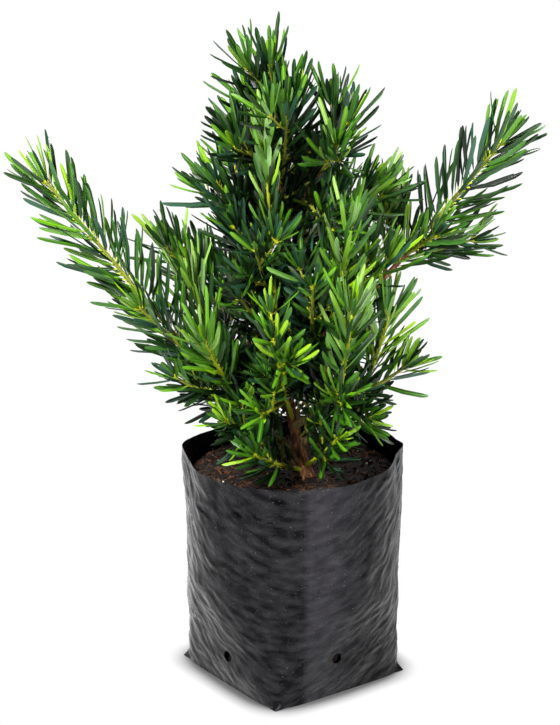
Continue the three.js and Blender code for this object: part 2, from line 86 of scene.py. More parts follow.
# ---- Bag, finer ----
BAG_SIDES = 300
BAG_LEVELS = 150
BASE_RINGS = 8
FILM_THICKNESS = 0.45
FILM_EDGE = 50  # edges of the film sharper than this many degrees show
FOOT_SQUARENESS = 7  # the film is drawn straighter between its corners at the floor
FOOT_HEIGHT = 26
EAR_WIDTH = 4.5  # degrees to each side of a folded corner
CREASE_SWEEP = 78  # creases climb by this much from the front to the sides
CREASE_GRAIN = (26, 26, 13)  # lengths along the creases and across them
CREASE_WANDER = {"grain": 27, "reach": 13}  # how far creases stray from their sweep
CREASE_DEPTH = (0.5, 2.2)  # at the front, and at the sides where the film is pinched
CREASE_SIDES = (0.3, 0.95)  # shares of the bag's radius between which they deepen
RIDGES = (2.1, 2, 1.0, 1.6)  # lacunarity, octaves, offset and gain of creases and puckers
CREASE_DIMENSION = 1.1
DIMPLE_GRAIN = (9, 9, 4)
DIMPLE_DEPTH = 0.3
BUCKLE_GRAIN = (46, 46, 30)
BUCKLE_DEPTH = 1.8
RIM_CALM = 9  # creases fade out this close to the rim
RIM_KINKS = {"width": 30, "depth": 2.2, "from": 0.75}
RIM_CORNERS = {"headings": (-5, 177), "width": 11, "depth": 2.4}
PUCKERS = [  # heading and height, half width in degrees and half height, depth
    (-112, 196, 26, 22, 3.0),
    (-101, 17, 24, 17, 3.0),
    (-12, 48, 16, 40, 1.8),
    (-168, 60, 18, 50, 1.4),
]
PUCKER_GRAIN = (15, 15, 8)
PUCKER_DIMENSION = 0.9

# ---- Potting mix ----
SOIL_LEVELS = [(0, 205.5), (0.36, 205), (0.65, 206.5), (1, SOIL_EDGE)]  # share of the radius, height
SOIL_WALL_LEVELS = (8, 16, 26, 34, 42, 50, 62, 80, 100, 120, 140, 160, 180, 192)
SOIL_INSET = 5.5  # clear of the film's deepest creases
SOIL_SIDES = 144
SOIL_RINGS = 56
SOIL_MOUND = {"height": 4, "width": 13}  # round the trunk
CRUMB_DEPTH = 1.6
CRUMB_GRAIN = 6.5
CRUMB_NOISE = (0.9, 2.2, 4)  # dimension, lacunarity and octaves
CRUMB_END = 0.97  # share of the radius at which the crumbs begin to fade
LITTER = {"seed": 7, "reach": 0.95, "slope": 0.35, "edge": 30}
CHIPS = {"count": 1500, "length": (1.6, 6.5), "girth": (0.3, 0.75)}
GRITS = {"count": 70, "length": (0.8, 2.0), "girth": (0.8, 1.0)}
CHIP_FLATNESS = 0.6
CHIP_WOBBLE = (-0.35, 0.35)
FIBRES = {
    "count": 420, "length": (5, 17), "radius": 0.22, "points": 7, "sides": 3, "bow": 0.28, "lift": 0.5,
}

# ---- Trunk and boughs, as in the solids ----
TRUNK_FOOT = np.array([13, -18, 204])
TRUNK_LEAN = np.array([-20, 22, 332])
TRUNK_BOW = np.array([-19, 9, 0])
TRUNK_RADII = {"foot": 6.4, "tip": 2.1, "taper": 0.8}
ROOT_FLARE = {"spread": 4, "height": 9, "lobes": 3, "depth": 0.3}
BOUGH_TIP_SHARE = 0.55
BOUGHS = {  # share of the trunk's height, heading, rise, length, upturn, foot radius
    "left": (0.05, 178, 45, 130, -10, 4.2),
    "right": (0.26, 6, 50, 183, -5, 4.2),
    "upper_right": (0.74, -14, 55, 76, 10, 2.8),
    "front_right": (0.33, -38, 45, 80, 15, 3.2),
    "front": (0.39, -98, 58, 60, 20, 3.0),
    "right_low": (0.10, -8, 42, 89, 0, 3.4),
    "right_front": (0.16, -48, 40, 84, 10, 3.4),
    "back_left": (0.22, 139, 45, 97, 10, 3.4),
    "back_right": (0.31, 60, 48, 97, 10, 3.4),
    "back": (0.42, 93, 55, 81, 10, 3.2),
}
LIMB_STEP = 2.5
BARK_SIDES = 32
COLLAR = {"swell": 0.45, "length": 9}
BARK_RELIEF = 0.55
BARK_GRAIN = (2.6, 2.6, 13)
BARK_NOISE = (0.8, 2.1, 3)  # dimension, lacunarity and octaves
BARK_FULL_RADIUS = 4  # thinner wood has shallower relief

# ---- Shoots, as in the solids: limb, share along it, heading, rise, length, habit ----
SHOOTS = {
    "left_arm": ("left", 1, 175, 51, 240, "arm"),
    "left_low": ("left", 0.86, -164, 47, 116, "twiggy"),
    "left_up": ("left", 0.78, 150, 67, 108, "plume"),
    "left_front": ("left", 0.68, -115, 48, 110, "plume"),
    "left_under": ("left", 0.6, -159, 29, 84, "inner"),
    "left_foot": ("left", 0.25, -138, 28, 80, "low"),
    "left_inner": ("trunk", 0.42, -130, 44, 81, "inner"),
    "left_mid": ("trunk", 0.6, -140, 51, 78, "crown"),
    "left_centre": ("trunk", 0.5, -108, 52, 105, "inner"),
    "upper_left": ("trunk", 0.72, -167, 45, 81, "crown"),
    "front_low": ("trunk", 0.18, -102, 52, 141, "low"),
    "front_foot": ("trunk", 0.24, -110, 9, 75, "low"),
    "front_leader": ("front", 1, -114, 82, 188, "leader"),
    "front_right": ("front_right", 1, -56, 74, 108, "plume"),
    "front_inner": ("front_right", 0.6, -91, 53, 97, "inner"),
    "mid_inner": ("trunk", 0.36, -43, 56, 85, "inner"),
    "right_front": ("right_front", 1, -74, 68, 97, "plume"),
    "right_inner": ("right_front", 0.45, -29, 79, 60, "inner"),
    "right_hem": ("right_front", 0.7, -78, 31, 55, "low"),
    "right_low": ("right_low", 1, 0, 35, 43, "twiggy"),
    "right_low_up": ("right_low", 0.9, -20, 72, 92, "plume"),
    "right_foot": ("right_low", 0.6, -50, 10, 42, "low"),
    "right_fore": ("right", 0.5, -65, 59, 84, "crown"),
    "right_arm": ("right", 1, -5, 52, 136, "arm"),
    "right_arm_mid": ("right", 0.97, -43, 36, 44, "twiggy"),
    "right_arm_low": ("right", 0.93, 18, 10, 74, "twiggy"),
    "right_arm_up": ("right", 0.8, 77, 61, 64, "crown"),
    "right_mid": ("trunk", 0.66, -3, 39, 110, "crown"),
    "right_centre": ("upper_right", 0.55, -70, 1, 60, "inner"),
    "top_right": ("upper_right", 1, -78, 35, 74, "crown"),
    "top_right_back": ("upper_right", 0.92, 29, 57, 57, "crown"),
    "top": ("trunk", 1, -150, 77, 80, "crown"),
    "top_mid": ("trunk", 0.96, -68, 67, 71, "crown"),
    "top_front": ("trunk", 0.9, -86, 53, 98, "crown"),
    "top_left": ("trunk", 0.88, -140, 47, 80, "crown"),
    "top_left_back": ("trunk", 0.94, 138, 64, 54, "crown"),
    "hem_left": ("trunk", 0.03, -131, 27, 82, "low"),
    "hem_right": ("trunk", 0.04, -62, 38, 84, "low"),
}
HABITS = {  # upturn of the stem, side twigs or none; the leaves' length, tilt, spacing and lift
    "arm": {"length": 1.12, "tilt": 0.92, "spacing": 0.78, "flat": 24, "lift": 0.12},
    "twiggy": {"length": 0.85, "tilt": 0.85, "flat": 12},
    "plume": {"bend": 6, "length": 1.05, "tilt": 0.8, "spacing": 0.9, "lift": 0.15},
    "crown": {"bend": 12, "twigs": True, "length": 0.98, "tilt": 0.9, "spacing": 1.3, "lift": 0.3},
    "leader": {"length": 0.75, "tilt": 0.62},
    "low": {"bend": 12, "twigs": True, "length": 0.7, "tilt": 1.05, "spacing": 1.1},
    "inner": {"bend": 12, "twigs": True, "length": 0.75, "tilt": 1.1, "spacing": 1.4, "lift": 0.15},
}
# Flat is by how many degrees leaves turn from above and below a stem to its two sides
PLAIN_HABIT = {"bend": 0, "twigs": False, "spacing": 1, "flat": 0, "lift": 0.1}
BACK_BOUGHS = ("back_left", "back_right", "back")
BACK_FAN = {"shares": (0.6, 1), "turn": 38, "stem": (48, 92, "crown")}  # rise, length and habit
BACK_CLIMB = {"shares": (0.55, 0.68, 0.82), "heading": 90, "turn": 36, "stem": (46, 88, "crown")}

# ---- Stems, twigs and leaves, as in the solids ----
TWIG_RANGE = (0.3, 0.95)  # shares of a stem between which twigs fork from it
TWIG_SPACING = 46
TWIG_LENGTH = (24, 36)
TWIG_SPLAY = 40
SPIRAL = 137.5
LEAF_START = 12
LEAF_LENGTH = (48, 54, 46)
LEAF_TILT = (62, 54, 38)
LEAF_VARIETY = {"roll": 30, "tilt": (0.7, 1.2), "length": (0.88, 1.12), "width": (0.9, 1.08)}
LEAF_FACING = 0.3  # how far blades turn to the sky from the way in which their stem grows
LEAF_CURVE = 12
LEAF_TRIMS = [  # shares of a leaf's length and tilt, tried in turn until it has room
    (1, 1), (1, 0.7), (0.85, 1), (0.85, 0.7), (0.7, 0.9), (0.55, 0.8),
]
LIMB_MARGIN = 1.0
POT_MARGIN = 1.5

# ---- Stems, twigs and leaves, finer ----
STEM_STEP = 5
STEM_SIDES = 8
STEM_RADII = (2.3, 1.4)
TWIG_RADII = (1.5, 1.0)
FINE_PITCH = 2.3  # spacing of the leaves, closer than in the solids
SIDE_TWIGS = [(TWIG_SPACING, TWIG_LENGTH), (55, (10, 22))]  # those of the solids, and short ones between
TWIG_STEPS = 6
TWIG_FOOT = {"stem": 2, "limb": 3}  # the points of a twig that may touch what bears it
LOOK_ALONG = {"stem": 0.02, "limb": 0.03}  # shares to both sides that give the way of a row of points
TWIG_RISE = 0.25  # a twig's tip bends up by this share of its length
INNER_TWIGS = {"from": 0.12, "spacing": 8, "length": (20, 38), "splay": 62, "seed": 100}
INNER_LIMBS = (
    "trunk", "left", "right", "right_low", "right_front", "front_right", "back_left", "back_right", "back",
)
BARE_FROM = {"right": 0.5}  # the share of a bough beyond which it bears no inner twigs
LIMB_LEAVES = {"left": 0.5, "right": 0.8}  # the share from which a bough bears leaves itself
BARE_FOOT = {"height": 80, "half_width": 9, "slope": 0.36}  # the trunk's foot shows from the front
REACH_MARGIN = 5  # leaves and twigs end within this of the solids' box
LEAF_WIDTH = 4.5
LEAF_ROLL = (10, 90)  # a leaf's stalk turns its blade by this much, either way
LEAF_STATIONS = [  # share of the length, share of the width
    (0, 0.26), (0.11, 0.36), (0.22, 0.84), (0.5, 1), (0.86, 0.95), (0.96, 0.62), (1, 0.18),
]
SCALE_STATIONS = [(0, 0.5), (0.4, 1), (0.85, 0.6), (1, 0.1)]  # of the small leaves on a bud
LEAF_EDGE = 11  # edges of a leaf sharper than this many degrees show
PETIOLE_STATIONS = 1
CHECKED_SHARES = (0.2, 0.4, 0.6, 0.8, 1)  # of a leaf's length, where its room is tested
RIB_WIDTH = 0.9
RIB_SHARE = 0.45  # the most of a narrow blade that the midrib takes
RIB_HEIGHT = 0.3
KEEL = 0.9  # how far the margins lie below the midrib
THICKNESS = 0.5
LEAF_TWIST = 26
LEAF_SWAY = 0.045
BUD = {
    "length": 5.5, "radius": 1.4, "sides": 6, "rings": 6, "ends": (0.02, 0.98), "sunk": 0.25, "fullness": 0.8,
}
BUD_TWIG = 30  # shorter twigs end without a star of bud leaves
# The leaves round a shoot's tip and those on its bud, with draws for their turn, length and roll
ROSETTE = {"count": 9, "length": (26, 50), "tilt": (14, 60), "width": 0.92, "draws": (13, 14, 15)}
STAR = {"count": 4, "length": (6, 10), "tilt": (22, 62), "width": 0.36, "draws": (11, 12, 13)}
WHORL = {"turn": 60, "length": (0.85, 1.15), "roll": 40, "depth": 3}  # what both have in common
LIMB_SAMPLE = 4  # leaves keep clear of limbs that are taken as straight over this many steps

# ---- Chances: the purpose of each draw, and the counts set aside for an axis or a kind of twig ----
TWIG_TURNS, TWIG_LENGTHS = 1, 5
LEAF_DRAWS = (2, 3, 4, 6, 7, 8, 10)  # place on the spiral, tilt, length, twist, sway, width, roll
LEAF_COLOUR_DRAW, ROSETTE_COLOUR_DRAW = 9, 16
AXIS_LEAVES, AXIS_WHORL, KIND_TWIGS = 1000, 100, 50
CHANCE_WAVES = (12.9898, 78.233, 37.719)
CHANCE_SCALE = 43758.5453

# ---- Colours, linear ----
LEAF_COLOURS = {  # upper side, midrib, underside
    # lit_sage: pale leaves, partly their own colour and partly painted light and sheen
    "lit_sage": ((0.19, 0.35, 0.060), (0.28, 0.43, 0.08), (0.15, 0.28, 0.08)),
    "lime": ((0.165, 0.33, 0.006), (0.26, 0.43, 0.012), (0.13, 0.27, 0.02)),
    "fresh": ((0.070, 0.205, 0.006), (0.13, 0.29, 0.01), (0.075, 0.19, 0.02)),
    "mid": ((0.024, 0.092, 0.003), (0.05, 0.16, 0.007), (0.033, 0.108, 0.015)),
    "deep": ((0.0055, 0.024, 0.002), (0.013, 0.05, 0.005), (0.013, 0.047, 0.009)),
    "blue": ((0.0075, 0.032, 0.014), (0.015, 0.055, 0.018), (0.019, 0.064, 0.032)),
    "shade": ((0.0016, 0.0075, 0.001), (0.003, 0.014, 0.002), (0.004, 0.015, 0.004)),
}
COLOUR_MIXES = {  # how a habit's leaves share out the colours, from its tip down; the rest are shade
    "arm": {"lime": 0.06, "fresh": 0.15, "mid": 0.27, "deep": 0.34, "blue": 0.18},
    "twiggy": {"lime": 0.03, "fresh": 0.15, "mid": 0.28, "deep": 0.32, "blue": 0.22},
    "crown": {"lit_sage": 0.02, "lime": 0.05, "fresh": 0.18, "mid": 0.27, "deep": 0.28, "blue": 0.20},
    "plume": {"lit_sage": 0.08, "lime": 0.14, "fresh": 0.28, "mid": 0.24, "deep": 0.18, "blue": 0.08},
    "leader": {"lit_sage": 0.42, "lime": 0.18, "fresh": 0.22, "mid": 0.12, "deep": 0.06},
    "low": {"lime": 0.04, "fresh": 0.18, "mid": 0.32, "deep": 0.30, "blue": 0.16},
    "inner": {"fresh": 0.06, "mid": 0.28, "blue": 0.22, "deep": 0.40},
}
TIP_LIGHT = 0.4  # how much lighter the draw is at a tip than at a foot
CROWN_SHADE = {"near": 25, "far": 85, "drop": 0.5}  # leaves near the trunk draw darker colours
DARK_SHOOTS = {  # shoots that draw darker colours than their habit's
    "left_arm": 0.06, "right_arm": 0.22, "right_arm_low": 0.15, "right_arm_mid": 0.15, "top_left": 0.1,
    "top": 0.08,
}
INNER_SHADE = 0.48  # and the inner twigs, which bear no buds, darker still
YOUNG_HABITS = ("leader", "low", "plume")  # whose stems are paler
YOUNG_STEM = ((0.29, 0.34, 0.009), 0.5)  # colour and roughness
OLD_STEM = ((0.15, 0.18, 0.012), 0.6)
STALK = ((0.38, 0.44, 0.010), 0.45)
BUD_LOOK = ((0.55, 0.54, 0.012), 0.5)
LEAF_ROUGHNESS = 0.3
WAX_SPECULAR = 0.34
FILM_LOOK = {  # noise scale, stretch and detail, and the stops that it is spread over
    "specks": (900, (1, 1, 1), 1, [(0.72, (0, 0, 0)), (0.78, (0.12, 0.10, 0.075))]),
    # painted sheen: paler streaks of the film's colour along the creases
    "painted_crease_sheen": (60, (1, 1, 2.4), 4, [(0.36, (0.001, 0.001, 0.0015)), (0.64, (0.006, 0.0055, 0.007))]),
    "roughness": (30, (1, 1, 1.6), 3, greys([(0.35, 0.16), (0.7, 0.32)])),
    "specular": (60, (1, 1, 2.4), 4, greys([(0.35, 0.055), (0.62, 0.145), (0.74, 0.24)])),
}
FILM_BUMPS = [(50, (1, 1, 1.5), 1.5, 1.5), (260, (1, 1, 1.4), 2, 0.12)]  # the same, and a depth
EARTH = {  # patches and grain as in the film, and the stops at which the patches take their colours
    "gloss": {"Roughness": 0.9, "Specular IOR Level": 0.25},
    "patches": (420, (1, 1, 1), 4), "stops": (0.35, 0.68), "grain": (900, (1, 1, 1), 3),
}
BARK = {
    "gloss": {"Roughness": 0.72, "Specular IOR Level": 0.35},
    "patches": (330, (1, 1, 0.28), 4), "stops": (0.36, 0.52, 0.68), "grain": (600, (1, 1, 0.25), 4),
}
GRAIN_DEPTH = 0.5
EARTH_COLOURS = {  # dark and light
    "potting_mix": ((0.001, 0.0006, 0.0004), (0.008, 0.003, 0.0015)),
    "dark_scraps": ((0.002, 0.001, 0.0006), (0.012, 0.005, 0.0025)),
    "brown_scraps": ((0.004, 0.0015, 0.0006), (0.028, 0.010, 0.0035)),
    "red_scraps": ((0.014, 0.005, 0.0015), (0.10, 0.036, 0.010)),
    "coir": ((0.06, 0.024, 0.009), (0.2, 0.095, 0.035)),
    "pale_grit": ((0.35, 0.3, 0.22), (0.7, 0.66, 0.56)),
}
BARK_COLOURS = {  # dark, middle and light
    "old_bark": ((0.05, 0.015, 0.006), (0.18, 0.062, 0.022), (0.40, 0.19, 0.085)),
    "young_bark": ((0.07, 0.05, 0.015), (0.16, 0.12, 0.035), (0.26, 0.2, 0.08)),
}
CHIP_SHADES = ("dark_scraps", "brown_scraps", "red_scraps")
OLD_BOUGHS = ("right", "upper_right", "front_right", "front", "back")  # as brown as the trunk

# ---- Studio: the floor in millimetres, lights and camera in metres ----
FLOOR_HALF = 48000
FLOOR_DROP = -0.3
FLOOR_LOOK = {"Base Color": (0.7, 0.7, 0.7, 1), "Roughness": 0.9, "Specular IOR Level": 0.2}
# painted shadow: the floor's glow to the camera darkens near the bag's foot
PAINTED_FOOT_SHADOW = {"reach": 22, "samples": 12, "levels": [(0.5, 0.16), (0.75, 0.62), (1.0, 1.0)]}
WORLD_LEVELS = [(0.0, 0.035), (0.45, 0.08), (0.62, 0.22), (1.0, 0.45)]  # from the front to the back
LIGHTS = {  # place, target, width and height, watts
    "key": ((-1.2, -1.7, 2.5), (0, 0, 0.35), (0.55, 0.55), 222),
    "fill": ((1.25, -1.4, 0.75), (0.03, -0.1, 0.15), (0.16, 1.3), 34),
    "back": ((0.3, 2.0, 2.0), (0, 0, 0.4), (2.0, 1.2), 30),
    "top": ((0.1, 0.1, 2.6), (0, 0, 0.4), (0.9, 0.7), 35),
}
CAMERA = {
    "place": (-0.013, -2.7166, 1.3075), "pitch": 20, "focal_px": 3000, "long_side_px": 725,
    "sensor": 36, "clip_end": 50,
}

X_AXIS = np.array([1.0, 0.0, 0.0])
Z_AXIS = np.array([0.0, 0.0, 1.0])
NEARLY_UPRIGHT = 0.9
SQUARE = ((-1, -1), (1, -1), (1, 1), (-1, 1))


# ---- Small helpers ----

def mix(low, high, share):
    return low + (high - low) * share


def smoothstep(value, low, high):
    share = np.clip((value - low) / (high - low), 0, 1)
    return share * share * (3 - 2 * share)


def chance(seed, count, purpose):
    """A steady value from 0 to 1 for a shoot's number, a count along it and a purpose."""
    seed_wave, count_wave, purpose_wave = CHANCE_WAVES
    wave = math.sin(seed * seed_wave + count * count_wave + purpose * purpose_wave) * CHANCE_SCALE
    return wave - math.floor(wave)


def along(stops, share):
    foot, middle, tip = stops
    return mix(foot, middle, share * 2) if share < 0.5 else mix(middle, tip, share * 2 - 1)


def unit(vector):
    return vector / np.linalg.norm(vector)


def spot_at(radius, angle, z):
    return radius * math.cos(angle), radius * math.sin(angle), z


def direction(heading, rise):
    slope = math.radians(rise)
    return np.array(spot_at(math.cos(slope), math.radians(heading), math.sin(slope)))


def swung(first, second, angle):
    """A direction that is turned from the first towards the second, which is square to it."""
    return first * math.cos(angle) + second * math.sin(angle)


def apart(heading, other):
    """The degrees from the other heading to this one, from -180 to 180."""
    return (heading - other + 180) % 360 - 180


def ring_angles(sides, first=0):
    return math.radians(first) + np.arange(sides) * math.tau / sides


# ---- Meshes ----

def loft_faces(levels, sides):
    """The faces of a closed skin through rings that run anticlockwise seen from the last."""
    faces = []
    for level in range(levels - 1):
        for side in range(sides):
            a = level * sides + side
            b = level * sides + (side + 1) % sides
            faces.append((a, b, b + sides, a + sides))
    faces.append(tuple(reversed(range(sides))))
    faces.append(tuple(range((levels - 1) * sides, levels * sides)))
    return faces


def new_object(name, data):
    made = bpy.data.objects.new(name, data)
    bpy.context.scene.collection.objects.link(made)
    return made


def add_piece(name, points, faces, materials, looks=None, crease=None):
    """A smooth mesh from points in millimetres. Edges sharper than crease degrees show."""
    mesh = bpy.data.meshes.new(name)
    mesh.from_pydata((np.asarray(points) * MM).tolist(), [], faces)
    for material in materials:
        mesh.materials.append(material)
    if looks is not None:
        mesh.polygons.foreach_set("material_index", looks)
    mesh.polygons.foreach_set("use_smooth", [True] * len(mesh.polygons))
    if crease:
        mesh.set_sharp_from_angle(angle=math.radians(crease))
    return new_object(name, mesh)


class Heap:
    """Many small bodies that become one piece."""

    def __init__(self):
        self.points = []
        self.faces = []
        self.looks = []
        self.count = 0

    def add(self, points, faces, looks=None):
        points = np.asarray(points).reshape(-1, 3)
        self.points.append(points)
        self.faces += [tuple(i + self.count for i in face) for face in faces]
        self.looks += looks if looks else [0] * len(faces)
        self.count += len(points)

    def piece(self, name, materials, crease=None):
        return add_piece(name, np.concatenate(self.points), self.faces, materials, self.looks, crease)


def frames_along(points):
    """Two directions square to a row of points at each of them, which don't twist."""
    forwards = np.gradient(points, axis=0)
    forwards /= np.linalg.norm(forwards, axis=1)[:, None]
    across = np.cross(Z_AXIS if abs(forwards[0][2]) < NEARLY_UPRIGHT else X_AXIS, forwards[0])
    firsts = []
    for forward in forwards:
        across = unit(across - forward * across.dot(forward))
        firsts.append(across)
    firsts = np.array(firsts)
    return firsts, np.cross(forwards, firsts)


def tube_rings(points, radii, sides):
    """Rings round a row of points. radii is one radius for each ring, or for each of its sides."""
    firsts, seconds = frames_along(points)
    angles = ring_angles(sides)
    radii = np.reshape(radii, (len(points), -1))
    return (
        points[:, None]
        + firsts[:, None] * (radii * np.cos(angles))[..., None]
        + seconds[:, None] * (radii * np.sin(angles))[..., None]
    )


# ---- Materials ----

def feed(owner, made, inputs):
    """Gives a node's inputs their values, or links them to the outputs of other nodes."""
    for name, value in inputs.items():
        if isinstance(value, bpy.types.NodeSocket):
            owner.node_tree.links.new(value, made.inputs[name])
        else:
            made.inputs[name].default_value = value


def node(owner, kind, inputs, **settings):
    """The outputs of a new node of a material or a world."""
    made = owner.node_tree.nodes.new(kind)
    for name, value in settings.items():
        setattr(made, name, value)
    feed(owner, made, inputs)
    return made.outputs


def new_material(name, inputs):
    material = bpy.data.materials.new(name)
    material.use_nodes = True
    shader = material.node_tree.nodes["Principled BSDF"]
    feed(material, shader, inputs)
    return material, shader


def ramp(owner, factor, stops):
    made = owner.node_tree.nodes.new("ShaderNodeValToRGB")
    elements = made.color_ramp.elements
    while len(elements) < len(stops):
        elements.new(0.5)
    for element, (place, colour) in zip(elements, stops):
        element.position = place
        element.color = (*colour, 1)
    feed(owner, made, {"Fac": factor})
    return made.outputs["Color"]


def true_place(material):
    """A point's place in metres from the middle of the bag's foot."""
    return node(material, "ShaderNodeTexCoord", {})["Object"]


def swept_place(material):
    """The place bent along the bag's creases, which climb from its front to its sides."""
    place = true_place(material)
    sweep = {0: place, 1: (0, -CREASE_SWEEP / BAG_RADIUS, 1)}
    height = node(material, "ShaderNodeVectorMath", sweep, operation="DOT_PRODUCT")["Value"]
    parts = node(material, "ShaderNodeSeparateXYZ", {"Vector": place})
    swept = {"X": parts["X"], "Y": parts["Y"], "Z": height}
    return node(material, "ShaderNodeCombineXYZ", swept)["Vector"]


def noise_over(material, place, scale, stretch, detail):
    """A noise texture over a place, with features about 1 / scale metres across."""
    stretched = node(material, "ShaderNodeMapping", {"Vector": place, "Scale": stretch})["Vector"]
    texture = {"Vector": stretched, "Scale": scale, "Detail": detail}
    return node(material, "ShaderNodeTexNoise", texture)["Fac"]


def add_bump(material, shader, height, depth_mm, before=None):
    relief = {"Strength": 1, "Distance": depth_mm * MM, "Height": height}
    if before:
        relief["Normal"] = before
    normal = node(material, "ShaderNodeBump", relief)["Normal"]
    feed(material, shader, {"Normal": normal})
    return normal


def added(material, first, second):
    return node(material, "ShaderNodeVectorMath", {0: first, 1: second}, operation="ADD")["Vector"]


def waxy_material(name, colour, roughness):
    """A plain leaf or stem colour under a soft wax gloss."""
    look = {"Base Color": (*colour, 1), "Roughness": roughness, "Specular IOR Level": WAX_SPECULAR}
    return new_material(name, look)[0]


def painted_reflection_strip(material):
    """A painted reflection: a paler strip down the film between two headings."""
    parts = node(material, "ShaderNodeSeparateXYZ", {"Vector": true_place(material)})
    heading = node(material, "ShaderNodeMath", {0: parts["Y"], 1: parts["X"]}, operation="ARCTAN2")
    low, high = (math.radians(edge) for edge in PAINTED_REFLECTION["headings"])
    strip = {"Value": heading["Value"], "From Min": low, "From Max": high}
    share = node(material, "ShaderNodeMapRange", strip)["Result"]
    full = [(place, PAINTED_REFLECTION["colour"]) for place in PAINTED_REFLECTION["full"]]
    return ramp(material, share, [(0, (0, 0, 0)), *full, (1, (0, 0, 0))])


def film_material():
    """Creased glossy film, with painted sheen in paler streaks along the creases and a painted reflection
    strip. All of its look but the specks of dust and that strip follows the creases.
    """
    material, shader = new_material("black_film", {})
    swept = swept_place(material)
    looks = {}
    for name, (scale, stretch, detail, stops) in FILM_LOOK.items():
        place = true_place(material) if name == "specks" else swept
        looks[name] = ramp(material, noise_over(material, place, scale, stretch, detail), stops)
    # dust specks, with painted sheen and a painted reflection added to the film's colour
    colour = added(material, added(material, looks["specks"], looks["painted_crease_sheen"]), painted_reflection_strip(material))
    gloss = {"Roughness": looks["roughness"], "Specular IOR Level": looks["specular"]}
    feed(material, shader, {"Base Color": colour, **gloss})
    bump = None
    for *settings, depth in FILM_BUMPS:
        bump = add_bump(material, shader, noise_over(material, swept, *settings), depth, bump)
    return material


def rough_material(name, kind, colours):
    """Bark or earth: patches of its colours over a fine bumpy grain."""
    material, shader = new_material(name, kind["gloss"])
    place = true_place(material)
    patches = noise_over(material, place, *kind["patches"])
    feed(material, shader, {"Base Color": ramp(material, patches, list(zip(kind["stops"], colours)))})
    add_bump(material, shader, noise_over(material, place, *kind["grain"]), GRAIN_DEPTH)
    return material


# ---- Bag ----

def rounded_square(angle, exponent):
    """The bag's radius at an angle, from a circle at exponent 2 to squarer outlines above it."""
    half_side = BAG_RADIUS / 2 ** (0.5 - 1 / exponent)
    turned = angle - math.radians(CORNER_HEADING + 45)
    across = np.abs(np.cos(turned)) ** exponent + np.abs(np.sin(turned)) ** exponent
    return half_side / across ** (1 / exponent)


def bag_radius(angle, z):
    rounding = smoothstep(z, 0, DRUM_HEIGHT)
    spread = RIM_SPREAD * smoothstep(z, DRUM_HEIGHT, RIM_HEIGHT)
    waves = sum(np.sin(count * angle + z / climb) for count, climb in WRINKLE_WAVES)
    return rounded_square(angle, mix(BASE_SQUARENESS, 2, rounding)) + spread + WRINKLE * rounding * waves


def rim_height(angle):
    peak = np.cos(angle - math.radians(RIM_PEAKS["heading"])) ** RIM_PEAKS["sharpness"]
    tilt = np.cos(angle - math.radians(RIM_TILT["heading"]))
    return RIM_HEIGHT + RIM_PEAKS["height"] * peak + RIM_TILT["height"] * tilt


def film_radius(angle, z):
    foot = rounded_square(angle, FOOT_SQUARENESS)
    return mix(foot, bag_radius(angle, z), smoothstep(z, 0, FOOT_HEIGHT))


def ear_share(angle, z):
    """How far a point of the bag is drawn out to the folded ear of the nearest corner."""
    turned = (math.degrees(angle) - CORNER_HEADING + 45) % 90 - 45
    beside = max(0.0, 1 - abs(turned) / EAR_WIDTH)
    above = max(0.0, 1 - z / EAR_HEIGHT)
    return beside * above


def grained(point, grain):
    return Vector([place / size for place, size in zip(point, grain)])


def ridges(point, grain, dimension):
    """Sharp-crested folds, as long as the grain each way."""
    return (noise.ridged_multi_fractal(grained(point, grain), dimension, *RIDGES) - 1) / 2


def film_relief(x, y, z, rim):
    """Creases that sweep up from the front to both sides, over slower buckles."""
    swept = z - CREASE_SWEEP * y / BAG_RADIUS
    swept += CREASE_WANDER["reach"] * noise.noise(Vector((x, y, z)) / CREASE_WANDER["grain"])
    sides = [share * BAG_RADIUS for share in CREASE_SIDES]
    crease = ridges((x, y, swept), CREASE_GRAIN, CREASE_DIMENSION)
    relief = mix(*CREASE_DEPTH, smoothstep(abs(x), *sides)) * crease
    relief += DIMPLE_DEPTH * noise.noise(grained((x, y, swept), DIMPLE_GRAIN))
    relief += BUCKLE_DEPTH * noise.noise(grained((x, y, z), BUCKLE_GRAIN))
    pucker = ridges((y, x, swept), PUCKER_GRAIN, PUCKER_DIMENSION)
    relief += pucker_depth(math.degrees(math.atan2(y, x)), z) * pucker
    return relief * smoothstep(rim - z, 0, RIM_CALM) * smoothstep(z, 0, EAR_HEIGHT)


def pucker_depth(heading, z):
    """How deeply the film is gathered at a heading and height."""
    depth = 0.0
    for middle, height, half_width, half_height, full_depth in PUCKERS:
        away = math.hypot(apart(heading, middle) / half_width, (z - height) / half_height)
        depth += full_depth * smoothstep(1 - away, 0, 1)
    return depth


def rim_kink(angle, z, rim):
    """The cut edge runs in short straight lengths between kinks."""
    turn = (math.degrees(angle) / RIM_KINKS["width"]) % 1 - 0.5
    near_rim = smoothstep(z, rim * RIM_KINKS["from"], rim)
    kink = RIM_KINKS["depth"] * (2 * abs(turn) - 1)
    for corner in RIM_CORNERS["headings"]:
        away = abs(apart(math.degrees(angle), corner))
        kink += RIM_CORNERS["depth"] * max(0, 1 - away / RIM_CORNERS["width"])
    return near_rim * kink


def bag_ring(level):
    ring = []
    for angle in ring_angles(BAG_SIDES, CORNER_HEADING):
        rim = rim_height(angle)
        z = rim * level / BAG_LEVELS
        radius = film_radius(angle, z)
        radius += film_relief(*spot_at(radius, angle, z), rim) + rim_kink(angle, z, rim)
        radius = mix(radius, EAR_RADIUS, ear_share(angle, z))
        ring.append(spot_at(radius, angle, z))
    return np.array(ring)


def apply_modifiers(piece):
    made = bpy.data.meshes.new_from_object(piece.evaluated_get(bpy.context.evaluated_depsgraph_get()))
    piece.modifiers.clear()
    piece.data = made


